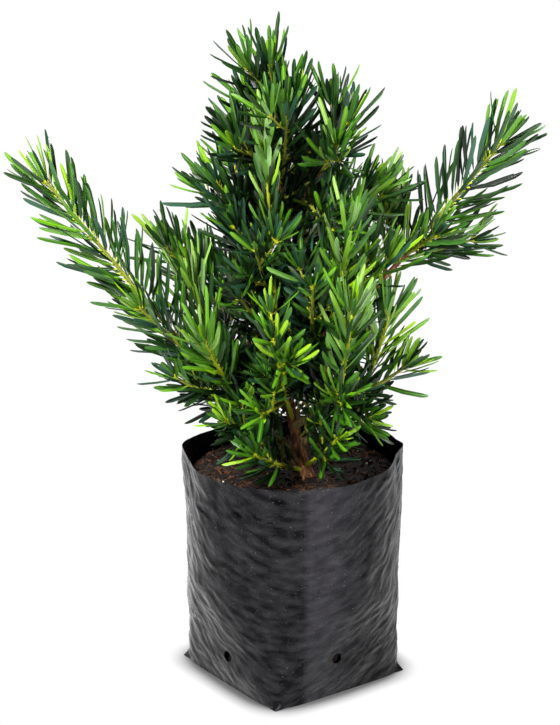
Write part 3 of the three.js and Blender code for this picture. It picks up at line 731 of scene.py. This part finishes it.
def build_bag(material):
    foot = bag_ring(0)
    base = [foot * (share / BASE_RINGS, share / BASE_RINGS, 1) for share in range(1, BASE_RINGS)]
    rings = base + [bag_ring(level) for level in range(BAG_LEVELS + 1)]
    faces = loft_faces(len(rings), BAG_SIDES)
    faces.pop()
    piece = add_piece("bag_film", np.concatenate(rings), faces, [material])
    film = piece.modifiers.new("film", "SOLIDIFY")
    film.thickness = FILM_THICKNESS * MM
    film.offset = -1
    cutters = Heap()
    for side in (0, 180):
        for turn, height in zip((-1, 1), HOLE["heights"]):
            angle = math.radians(CORNER_HEADING + side + turn * HOLE["offset"])
            outward = np.array(spot_at(1, angle, 0))
            middle = outward * bag_radius(angle, height) + Z_AXIS * height
            ends = np.array([middle + outward * reach for reach in (-HOLE["reach"], HOLE["reach"])])
            rings = tube_rings(ends, [HOLE["radius"]] * 2, HOLE["sides"])
            cutters.add(rings, loft_faces(2, HOLE["sides"]))
    punch = cutters.piece("punch", [material])
    holes = piece.modifiers.new("holes", "BOOLEAN")
    holes.operation = "DIFFERENCE"
    holes.solver = "MANIFOLD"
    holes.object = punch
    apply_modifiers(piece)
    bpy.data.objects.remove(punch)
    piece.data.set_sharp_from_angle(angle=math.radians(FILM_EDGE))
    return piece


# ---- Potting mix ----

def soil_top(x, y, share):
    """The height of the mix at a place, which is this share of the way out to its edge."""
    level = np.interp(share, *zip(*SOIL_LEVELS))
    from_trunk = math.hypot(x - TRUNK_FOOT[0], y - TRUNK_FOOT[1]) / SOIL_MOUND["width"]
    mound = SOIL_MOUND["height"] * math.exp(-from_trunk ** 2)
    crumbs = noise.fractal(Vector((x, y, 0)) / CRUMB_GRAIN, *CRUMB_NOISE)
    return level + mound + CRUMB_DEPTH * crumbs * (1 - smoothstep(share, CRUMB_END, 1))


def build_soil(material):
    angles = ring_angles(SOIL_SIDES, CORNER_HEADING)
    rings = [
        [spot_at(film_radius(angle, z) - SOIL_INSET, angle, z) for angle in angles]
        for z in (SOIL_INSET, *SOIL_WALL_LEVELS, SOIL_EDGE)
    ]
    edge = rings[-1]
    for step in range(1, SOIL_RINGS):
        share = 1 - step / SOIL_RINGS
        spots = [(x * share, y * share) for x, y, _ in edge]
        rings.append([(x, y, soil_top(x, y, share)) for x, y in spots])
    points = np.array(rings).reshape(-1, 3)
    return add_piece("potting_mix", points, loft_faces(len(rings), SOIL_SIDES), [material])


def soil_spot(draws):
    """A place on the potting mix, evenly dealt over it, and its height."""
    share = LITTER["reach"] * math.sqrt(draws.random())
    angle = draws.uniform(0, math.tau)
    x, y, _ = spot_at((bag_radius(angle, SOIL_EDGE) - WALL) * share, angle, 0)
    return np.array([x, y, soil_top(x, y, share)])


def lying_way(draws):
    return unit(np.array([*draws.normal(size=2), draws.normal() * LITTER["slope"]]))


def chip_points(spot, size, draws):
    """Eight corners of a broken scrap of bark or grit that lies half sunk at a spot."""
    way = lying_way(draws)
    side = unit(np.cross(way, Z_AXIS))
    up = np.cross(side, way)
    length = draws.uniform(*size["length"])
    girth = length * draws.uniform(*size["girth"])
    corners = []
    for end in (-1, 1):
        for across, lift in SQUARE:
            wobble = 1 + draws.uniform(*CHIP_WOBBLE)
            corner = way * end * length + side * across * girth + up * lift * girth * CHIP_FLATNESS
            corners.append(spot + wobble * corner / 2)
    return corners


def build_litter(materials):
    """Bark scraps, coir fibres and pale grit on the potting mix, each kind one piece."""
    draws = np.random.default_rng(LITTER["seed"])
    chips, grits, fibres = Heap(), Heap(), Heap()
    box = loft_faces(2, 4)
    for heap, size in ((chips, CHIPS), (grits, GRITS)):
        for _ in range(size["count"]):
            shade = int(draws.integers(0, len(CHIP_SHADES))) if heap is chips else 0
            heap.add(chip_points(soil_spot(draws), size, draws), box, [shade] * len(box))
    count, sides = FIBRES["points"], FIBRES["sides"]
    shares = np.linspace(-0.5, 0.5, count)[:, None]
    for _ in range(FIBRES["count"]):
        spot = soil_spot(draws)
        way = lying_way(draws)
        bow = unit(np.cross(way, Z_AXIS)) * draws.uniform(-1, 1) + Z_AXIS * FIBRES["lift"]
        length = draws.uniform(*FIBRES["length"])
        points = spot + way * length * shares + bow * length * FIBRES["bow"] * (0.25 - shares ** 2)
        fibres.add(tube_rings(points, [FIBRES["radius"]] * count, sides), loft_faces(count, sides))
    return [
        chips.piece("bark_scraps", [materials[shade] for shade in CHIP_SHADES], LITTER["edge"]),
        grits.piece("grit", [materials["pale_grit"]], LITTER["edge"]),
        fibres.piece("coir_fibres", [materials["coir"]]),
    ]


# ---- Trunk and boughs ----

def trunk_point(share):
    return TRUNK_FOOT + TRUNK_LEAN * share + TRUNK_BOW * math.sin(math.pi * share)


def trunk_radius(share):
    return mix(TRUNK_RADII["foot"], TRUNK_RADII["tip"], share ** TRUNK_RADII["taper"])


def growth(start, heading, rise, length, bend, step):
    """The points of a limb or stem that sets out along heading and rise, and turns up."""
    steps = max(round(length / step), 2)
    points = [np.array(start)]
    for i in range(steps):
        turned = rise + bend * ((i + 0.5) / steps - 0.5)
        points.append(points[-1] + direction(heading, turned) * length / steps)
    return np.array(points)


def point_along(points, share):
    place = share * (len(points) - 1)
    index = max(0, min(int(place), len(points) - 2))
    return mix(points[index], points[index + 1], place - index)


def way_along(points, share, kind):
    """The way in which a stem or a limb grows at a share of its length."""
    reach = LOOK_ALONG[kind]
    return unit(point_along(points, share + reach) - point_along(points, share - reach))


def make_limbs():
    """Every limb as its centreline and the radius at each point."""
    shares = np.linspace(0, 1, round(TRUNK_LEAN[2] / LIMB_STEP) + 1)
    limbs = {"trunk": (
        np.array([trunk_point(share) for share in shares]),
        np.array([trunk_radius(share) for share in shares]),
    )}
    for name, (share, heading, rise, length, bend, radius) in BOUGHS.items():
        points = growth(trunk_point(share), heading, rise, length, bend, LIMB_STEP)
        limbs[name] = (points, np.linspace(radius, radius * BOUGH_TIP_SHARE, len(points)))
    return limbs


def bark_relief(radii, length, seed):
    """Radii for each side of each ring, with long plates and furrows of bark."""
    relief = []
    for i, radius in enumerate(radii):
        distance = length * i / (len(radii) - 1)
        row = []
        for angle in ring_angles(BARK_SIDES):
            place = grained(spot_at(radius, angle, distance), BARK_GRAIN)
            plate = noise.fractal(place + Vector((seed, 0, 0)), *BARK_NOISE)
            row.append(radius + BARK_RELIEF * plate * min(1, radius / BARK_FULL_RADIUS))
        relief.append(row)
    return np.array(relief)


def build_trunk(material):
    points, radii = LIMBS["trunk"]
    heights = points[:, 2] - points[0][2]
    relief = bark_relief(radii, heights[-1], 0)
    angles = ring_angles(BARK_SIDES)
    lobes = 1 + ROOT_FLARE["depth"] * np.cos(ROOT_FLARE["lobes"] * angles)
    relief += ROOT_FLARE["spread"] * np.exp(-heights / ROOT_FLARE["height"])[:, None] * lobes
    rings = points[:, None] + np.stack([
        relief * np.cos(angles), relief * np.sin(angles), np.zeros_like(relief),
    ], axis=-1)
    return add_piece("trunk_bark", rings.reshape(-1, 3), loft_faces(len(rings), BARK_SIDES), [material])


def build_bough(name, material, seed):
    points, radii = LIMBS[name]
    length = BOUGHS[name][3]
    distances = np.linspace(0, length, len(points))
    collar = 1 + COLLAR["swell"] * np.exp(-distances / COLLAR["length"])
    rings = tube_rings(points, bark_relief(radii * collar, length, seed), BARK_SIDES)
    faces = loft_faces(len(points), BARK_SIDES)
    return add_piece("bark_" + name, rings.reshape(-1, 3), faces, [material])


# ---- Shoots ----

def shoot_table():
    table = dict(SHOOTS)
    for bough in BACK_BOUGHS:
        for i, share in enumerate(BACK_FAN["shares"]):
            heading = BOUGHS[bough][1] + BACK_FAN["turn"] * (i - 0.5)
            table[f"{bough}_{i + 1}"] = (bough, share, heading, *BACK_FAN["stem"])
    for i, share in enumerate(BACK_CLIMB["shares"]):
        heading = BACK_CLIMB["heading"] + BACK_CLIMB["turn"] * (1 if i % 2 == 0 else -1)
        table[f"climb_{i + 1}"] = ("trunk", share, heading, *BACK_CLIMB["stem"])
    return table


def sideways(forward, roll):
    """A direction square to forward, turned round it by roll degrees from straight up."""
    right = unit(np.cross(forward, Z_AXIS))
    return swung(np.cross(right, forward), right, math.radians(roll))


def add_twig(axes, foot, forward, roll, splay, length, bearer):
    """Adds a short twig that leaves its bearer at splay degrees and bends up, if it has room."""
    way = swung(forward, sideways(forward, roll), math.radians(splay))
    steps = np.linspace(0, 1, TWIG_STEPS + 1)[:, None]
    points = foot + way * length * steps + Z_AXIS * TWIG_RISE * length * steps ** 2
    if allowed(points[TWIG_FOOT[bearer]:]):
        axes.append((points, TWIG_RADII, length))


def habit_of(name):
    return {**PLAIN_HABIT, **HABITS[name]}


def skeleton(row, seed):
    """The stem and side twigs of one shoot, each a row of points, its radii and its length."""
    limb, share, heading, rise, length, habit = row
    manner = habit_of(habit)
    start = point_along(LIMBS[limb][0], share)
    stem = growth(start, heading, rise, length, manner["bend"], STEM_STEP)
    axes = [(stem, STEM_RADII, length)]
    if not manner["twigs"]:
        return axes
    way = direction(heading, rise)
    for kind, (spacing, lengths) in enumerate(SIDE_TWIGS):
        forks = int(length // spacing)
        key = kind * KIND_TWIGS
        for fork in range(forks):
            foot = point_along(stem, mix(*TWIG_RANGE, (fork + 0.5 / (kind + 1)) / forks))
            roll = fork * SPIRAL + 360 * chance(seed, key, TWIG_TURNS)
            twig_length = mix(*lengths, chance(seed, key + fork, TWIG_LENGTHS))
            add_twig(axes, foot, way, roll, TWIG_SPLAY, twig_length, "stem")
    return axes


def inner_twigs(limb, seed):
    """Short leafy twigs along a limb, which close the crown behind its outer shoots."""
    points = LIMBS[limb][0]
    length = np.sum(np.linalg.norm(np.diff(points, axis=0), axis=1))
    first = INNER_TWIGS["from"] * length
    axes = []
    for i in range(int((length - first) // INNER_TWIGS["spacing"])):
        share = (first + i * INNER_TWIGS["spacing"]) / length
        if share > BARE_FROM.get(limb, 1):
            break
        foot = point_along(points, share)
        forward = way_along(points, share, "limb")
        twig_length = mix(*INNER_TWIGS["length"], chance(seed, i, TWIG_LENGTHS))
        add_twig(axes, foot, forward, i * SPIRAL, INNER_TWIGS["splay"], twig_length, "limb")
    return axes


def limb_end(limb, first):
    """The outer part of a bough, which bears leaves as a shoot's stem does."""
    points = LIMBS[limb][0]
    outer = points[round(first * len(points)):]
    return [(outer, None, (len(outer) - 1) * LIMB_STEP)]


def leaves_of(axis, axis_index, seed, manner):
    """Every leaf that the spiral rule gives one axis, set where it has room."""
    points, _, length = axis
    first = LEAF_START if axis_index == 0 else LEAF_START / 2
    pitch = FINE_PITCH * manner["spacing"]
    for i in range(int((length - first) // pitch) + 1):
        key = axis_index * AXIS_LEAVES + i
        around, tilt, full, twist, sway, width, turn = (chance(seed, key, draw) for draw in LEAF_DRAWS)
        share = (first + i * pitch) / length
        forward = way_along(points, share, "stem")
        around = i * SPIRAL + LEAF_VARIETY["roll"] * around
        around -= manner["flat"] * math.sin(math.radians(2 * around))
        stance = (point_along(points, share), forward, sideways(forward, around))
        tilt = along(LEAF_TILT, share) * manner["tilt"] * mix(*LEAF_VARIETY["tilt"], tilt)
        full = along(LEAF_LENGTH, share) * manner["length"] * mix(*LEAF_VARIETY["length"], full)
        roll = math.copysign(mix(*LEAF_ROLL, abs(2 * turn - 1)), turn - 0.5)
        blade = {
            "twist": math.radians(LEAF_TWIST) * (2 * twist - 1),
            "sway": LEAF_SWAY * (2 * sway - 1),
            "width": LEAF_WIDTH * mix(*LEAF_VARIETY["width"], width),
        }
        for length_share, tilt_share in LEAF_TRIMS:
            leaf = placed_leaf(stance, tilt * tilt_share, full * length_share, roll, manner["lift"])
            leaf.update(blade)
            if allowed(leaf_samples(leaf)):
                yield key, share, leaf
                break


def placed_leaf(stance, tilt, length, roll, lift):
    """A leaf whose blade faces up, turned on its stalk by roll degrees."""
    root, forward, outward = stance
    way = unit(swung(forward, outward, math.radians(tilt)) + Z_AXIS * lift)
    rising = mix(forward, Z_AXIS, LEAF_FACING)
    rising = unit(rising - way * rising.dot(way))
    level = np.cross(way, rising)
    turn = math.radians(roll)
    face = swung(rising, level, turn)
    side = swung(level, -rising, turn)
    return {"root": root, "way": way, "rising": rising, "face": face, "side": side, "length": length}


def blade_centre(leaf, share):
    """A point of the midrib, which curves up more and more and sways a little to one side."""
    lift = math.tan(math.radians(LEAF_CURVE)) * leaf["length"] * share * share * 0.5
    sway = leaf["sway"] * leaf["length"] * math.sin(math.pi * share)
    return leaf["root"] + leaf["way"] * leaf["length"] * share + leaf["rising"] * lift + leaf["side"] * sway


def leaf_samples(leaf):
    samples = []
    for share in CHECKED_SHARES:
        centre = blade_centre(leaf, share)
        half = leaf["side"] * leaf["width"] / 2 * (1 if share < 1 else 0)
        samples += [centre - half, centre, centre + half]
    return np.array(samples)


LEAF_COLUMNS = 5
LEAF_FACES = loft_faces(len(LEAF_STATIONS), LEAF_COLUMNS)
SCALE_FACES = loft_faces(len(SCALE_STATIONS), LEAF_COLUMNS)
UPPER, RIB, UNDER, PETIOLE = 0, 1, 2, 3
STRIP_LOOKS = (UPPER, RIB, UPPER, UNDER, UNDER)
LEAF_LOOKS = [
    PETIOLE if level < PETIOLE_STATIONS else look
    for level in range(len(LEAF_STATIONS) - 1)
    for look in STRIP_LOOKS
] + [PETIOLE, UPPER]


def leaf_rings(leaf, stations):
    """Rings of five points: margin, both sides of the midrib, margin, and the underside's keel."""
    rings = []
    for share, width_share in stations:
        centre = blade_centre(leaf, share)
        turn = leaf["twist"] * share
        side = swung(leaf["side"], leaf["face"], turn)
        face = swung(leaf["face"], -leaf["side"], turn)
        half = leaf["width"] / 2 * width_share
        rib = min(RIB_WIDTH / 2, half * RIB_SHARE)
        margin = centre - face * KEEL * width_share
        crest = centre + face * RIB_HEIGHT * width_share
        keel = centre + face * (RIB_HEIGHT - THICKNESS) * min(1, width_share * 2)
        edges = [margin - side * half, crest - side * rib, crest + side * rib, margin + side * half]
        rings.append([*edges, keel])
    return np.array(rings)


# ---- Room for leaves ----

def clear_of_pot(points):
    angles = np.arctan2(points[:, 1], points[:, 0])
    radii = np.hypot(points[:, 0], points[:, 1])
    inside = radii < bag_radius(angles, RIM_HEIGHT) - WALL - POT_MARGIN
    floor = np.where(inside, SOIL_EDGE, rim_height(angles)) + POT_MARGIN
    return np.all(points[:, 2] > floor)


def clear_of_limbs(points):
    offsets = points[:, None] - LIMB_STARTS[None]
    shares = np.clip(np.einsum("ijk,jk->ij", offsets, LIMB_WAYS) / LIMB_SQUARES, 0, 1)
    distances = np.linalg.norm(offsets - shares[..., None] * LIMB_WAYS, axis=-1)
    return np.all(distances > LIMB_REACH)


def clear_of_view(points):
    """Nothing hangs before the trunk's foot, as it is seen from the front and a little above."""
    before = TRUNK_FOOT[1] - points[:, 1]
    heights = points[:, 2] - BARE_FOOT["slope"] * before - TRUNK_FOOT[2]
    shares = heights / TRUNK_LEAN[2]
    trunk_x = TRUNK_FOOT[0] + TRUNK_LEAN[0] * shares + TRUNK_BOW[0] * np.sin(math.pi * shares)
    hides = (before > 0) & (heights > 0) & (heights < BARE_FOOT["height"])
    return not np.any(hides & (np.abs(points[:, 0] - trunk_x) < BARE_FOOT["half_width"]))


def allowed(points):
    within_reach = np.all(points > REACH_LOW) and np.all(points < REACH_HIGH)
    return within_reach and clear_of_pot(points) and clear_of_view(points) and clear_of_limbs(points)


REACH_LOW = np.array(cad_low) / MM - REACH_MARGIN
REACH_HIGH = np.array(cad_high) / MM + REACH_MARGIN
LIMBS = make_limbs()
LIMB_JOINTS = [np.concatenate([points[:-1:LIMB_SAMPLE], points[-1:]]) for points, _ in LIMBS.values()]
LIMB_STARTS = np.concatenate([joints[:-1] for joints in LIMB_JOINTS])
LIMB_WAYS = np.concatenate([np.diff(joints, axis=0) for joints in LIMB_JOINTS])
LIMB_SQUARES = np.sum(LIMB_WAYS ** 2, axis=1)
LIMB_REACH = np.concatenate([radii[:-1:LIMB_SAMPLE] for _, radii in LIMBS.values()]) + LIMB_MARGIN


# ---- Foliage ----

def picked(shares, draw):
    """The colour that a draw falls on, which is shade beyond the shares."""
    for colour, share in shares.items():
        draw -= share
        if draw < 0:
            return colour
    return "shade"


def shading(place):
    """How much darker the leaves are at a place, which grows towards the trunk."""
    height = np.clip((place[2] - TRUNK_FOOT[2]) / TRUNK_LEAN[2], 0, 1)
    distance = np.linalg.norm(place - trunk_point(height))
    return CROWN_SHADE["drop"] * (1 - smoothstep(distance, CROWN_SHADE["near"], CROWN_SHADE["far"]))


def bud_rings(points):
    """A pointed bud that grows on from the last of a row of points."""
    way = unit(points[-1] - points[-2])
    shares = np.linspace(*BUD["ends"], BUD["rings"])
    centres = points[-1] + way * BUD["length"] * (shares - BUD["sunk"])[:, None]
    radii = BUD["radius"] * np.sin(math.pi * shares ** BUD["fullness"])
    return tube_rings(centres, radii, BUD["sides"])


def whorl(axis, size, seed, axis_index, manner):
    """The close leaves round the tip of an axis, the outer ones longer and spread wider."""
    points = axis[0]
    forward = unit(points[-1] - points[-2])
    for i in range(size["count"]):
        key = axis_index * AXIS_WHORL + i
        turn, stretch, roll = (chance(seed, key, draw) for draw in size["draws"])
        share = i / (size["count"] - 1)
        outward = sideways(forward, i * SPIRAL + WHORL["turn"] * turn)
        stance = (points[-1] - forward * WHORL["depth"] * (1 - share), forward, outward)
        tilt = mix(*reversed(size["tilt"]), share) * manner["tilt"]
        length = mix(*reversed(size["length"]), share) * mix(*WHORL["length"], stretch) * manner["length"]
        leaf = placed_leaf(stance, tilt, length, WHORL["roll"] * (2 * roll - 1), manner["lift"])
        leaf.update(twist=0, sway=0, width=LEAF_WIDTH * size["width"])
        if allowed(leaf_samples(leaf)):
            yield key, leaf


def leafy_axes():
    """All axes that bear leaves, shoot by shoot and limb by limb, their habit and added darkness."""
    for seed, (name, row) in enumerate(shoot_table().items()):
        yield skeleton(row, seed), row[-1], DARK_SHOOTS.get(name, 0)
    for i, limb in enumerate(INNER_LIMBS):
        yield inner_twigs(limb, INNER_TWIGS["seed"] + i), "inner", INNER_SHADE
    for limb, first in LIMB_LEAVES.items():
        yield limb_end(limb, first), "arm", 0


def grow_stem(axis, look, stems):
    points, radii, _ = axis
    faces = loft_faces(len(points), STEM_SIDES)
    stems.add(tube_rings(points, np.linspace(*radii, len(points)), STEM_SIDES), faces, [look] * len(faces))


def grow_bud(axis, seed, axis_index, manner, buds):
    buds.add(bud_rings(axis[0]), loft_faces(BUD["rings"], BUD["sides"]))
    for _, leaf in whorl(axis, STAR, seed, axis_index, manner):
        buds.add(leaf_rings(leaf, SCALE_STATIONS), SCALE_FACES)


def drawn_leaves(axis, seed, axis_index, manner):
    """Each leaf of an axis with its draw for a colour, before any shade."""
    for key, leaf in whorl(axis, ROSETTE, seed, axis_index, manner):
        yield leaf, chance(seed, key, ROSETTE_COLOUR_DRAW) - TIP_LIGHT / 2
    for key, share, leaf in leaves_of(axis, axis_index, seed, manner):
        yield leaf, chance(seed, key, LEAF_COLOUR_DRAW) + TIP_LIGHT * (0.5 - share)


def leaf_materials(colour, stalk):
    shades = zip(("upper", "midrib", "under"), LEAF_COLOURS[colour])
    return [waxy_material(f"{colour}_{part}", shade, LEAF_ROUGHNESS) for part, shade in shades] + [stalk]


def build_foliage():
    """Every stem, bud and leaf, each kind and each leaf colour one piece."""
    stems, buds = Heap(), Heap()
    leaves = {colour: Heap() for colour in LEAF_COLOURS}
    for seed, (axes, habit, depth) in enumerate(leafy_axes()):
        manner = habit_of(habit)
        for axis_index, axis in enumerate(axes):
            if axis[1]:
                grow_stem(axis, 0 if habit in YOUNG_HABITS else 1, stems)
                if axis[2] > BUD_TWIG and depth < INNER_SHADE:
                    grow_bud(axis, seed, axis_index, manner, buds)
            for leaf, draw in drawn_leaves(axis, seed, axis_index, manner):
                colour = picked(COLOUR_MIXES[habit], draw + shading(leaf["root"]) + depth)
                leaves[colour].add(leaf_rings(leaf, LEAF_STATIONS), LEAF_FACES, LEAF_LOOKS)
    stem_looks = [waxy_material("young_stem", *YOUNG_STEM), waxy_material("old_stem", *OLD_STEM)]
    stalk = waxy_material("stalk", *STALK)
    return [
        stems.piece("green_stems", stem_looks),
        buds.piece("buds", [waxy_material("bud", *BUD_LOOK)]),
    ] + [
        heap.piece("leaves_" + colour, leaf_materials(colour, stalk), LEAF_EDGE)
        for colour, heap in leaves.items()
    ]


# ---- Assembly ----

def dress(piece, slot, *nodes):
    """The piece rides on the one body and stands for CAD nodes. Its slot is not used."""
    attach(piece, "root")
    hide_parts(*nodes)


earths = {name: rough_material(name, EARTH, colours) for name, colours in EARTH_COLOURS.items()}
barks = {name: rough_material(name, BARK, colours) for name, colours in BARK_COLOURS.items()}
dress(build_bag(film_material()), "bag", "bag")
for piece in (build_soil(earths["potting_mix"]), *build_litter(earths)):
    dress(piece, "soil", "soil")
dress(build_trunk(barks["old_bark"]), "bark", "trunk")
for number, bough in enumerate(BOUGHS):
    bark = barks["old_bark" if bough in OLD_BOUGHS else "young_bark"]
    dress(build_bough(bough, bark, number + 1), "bark", "bough_" + bough)
shoot_nodes = ["shoot_" + name for name in shoot_table()]
for piece in build_foliage():
    dress(piece, "foliage", *shoot_nodes)


# ---- Floor, light and camera ----

def floor_material():
    """Grey to the plant, and to the camera a glowing white with a painted soft shadow round the bag's foot.
    """
    material, shader = new_material("floor", FLOOR_LOOK)
    reach = {"Distance": PAINTED_FOOT_SHADOW["reach"] * MM}
    nearness = node(material, "ShaderNodeAmbientOcclusion", reach, samples=PAINTED_FOOT_SHADOW["samples"])["AO"]
    shadow = ramp(material, nearness, greys(PAINTED_FOOT_SHADOW["levels"]))
    seen = node(material, "ShaderNodeLightPath", {})["Is Camera Ray"]
    glow = node(material, "ShaderNodeEmission", {"Color": shadow})["Emission"]
    either = node(material, "ShaderNodeMixShader", {"Fac": seen, 1: shader.outputs["BSDF"], 2: glow})
    feed(material, material.node_tree.nodes["Material Output"], {"Surface": either["Shader"]})
    return material


def build_floor():
    corners = [(x * FLOOR_HALF, y * FLOOR_HALF, FLOOR_DROP) for x, y in SQUARE]
    add_piece("floor", corners, [(0, 1, 2, 3)], [floor_material()])


def build_world():
    """A studio whose front is dim and whose back wall is bright."""
    world = bpy.data.worlds.new("studio")
    world.use_nodes = True
    place = node(world, "ShaderNodeTexCoord", {})["Generated"]
    parts = node(world, "ShaderNodeSeparateXYZ", {"Vector": place})
    depth = node(world, "ShaderNodeMapRange", {"Value": parts["Y"], "From Min": -1})["Result"]
    levels = ramp(world, depth, greys(WORLD_LEVELS))
    feed(world, world.node_tree.nodes["Background"], {"Color": levels})
    bpy.context.scene.world = world


def add_light(name, place, target, size, power):
    light = bpy.data.lights.new(name, "AREA")
    light.shape = "RECTANGLE"
    light.size, light.size_y = size
    light.energy = power
    lamp = new_object(name, light)
    lamp.location = place
    lamp.rotation_euler = (Vector(target) - Vector(place)).to_track_quat("-Z", "Y").to_euler()


def build_camera():
    data = bpy.data.cameras.new("camera")
    data.sensor_width = CAMERA["sensor"]
    data.lens = CAMERA["focal_px"] * CAMERA["sensor"] / CAMERA["long_side_px"]
    data.clip_end = CAMERA["clip_end"]
    camera = new_object("camera", data)
    camera.location = CAMERA["place"]
    camera.rotation_euler = (math.radians(90 - CAMERA["pitch"]), 0, 0)
    bpy.context.scene.camera = camera


build_world()
bpy.context.scene.view_settings.view_transform = "Standard"
build_floor()
for name, settings in LIGHTS.items():
    add_light(name, *settings)
build_camera()
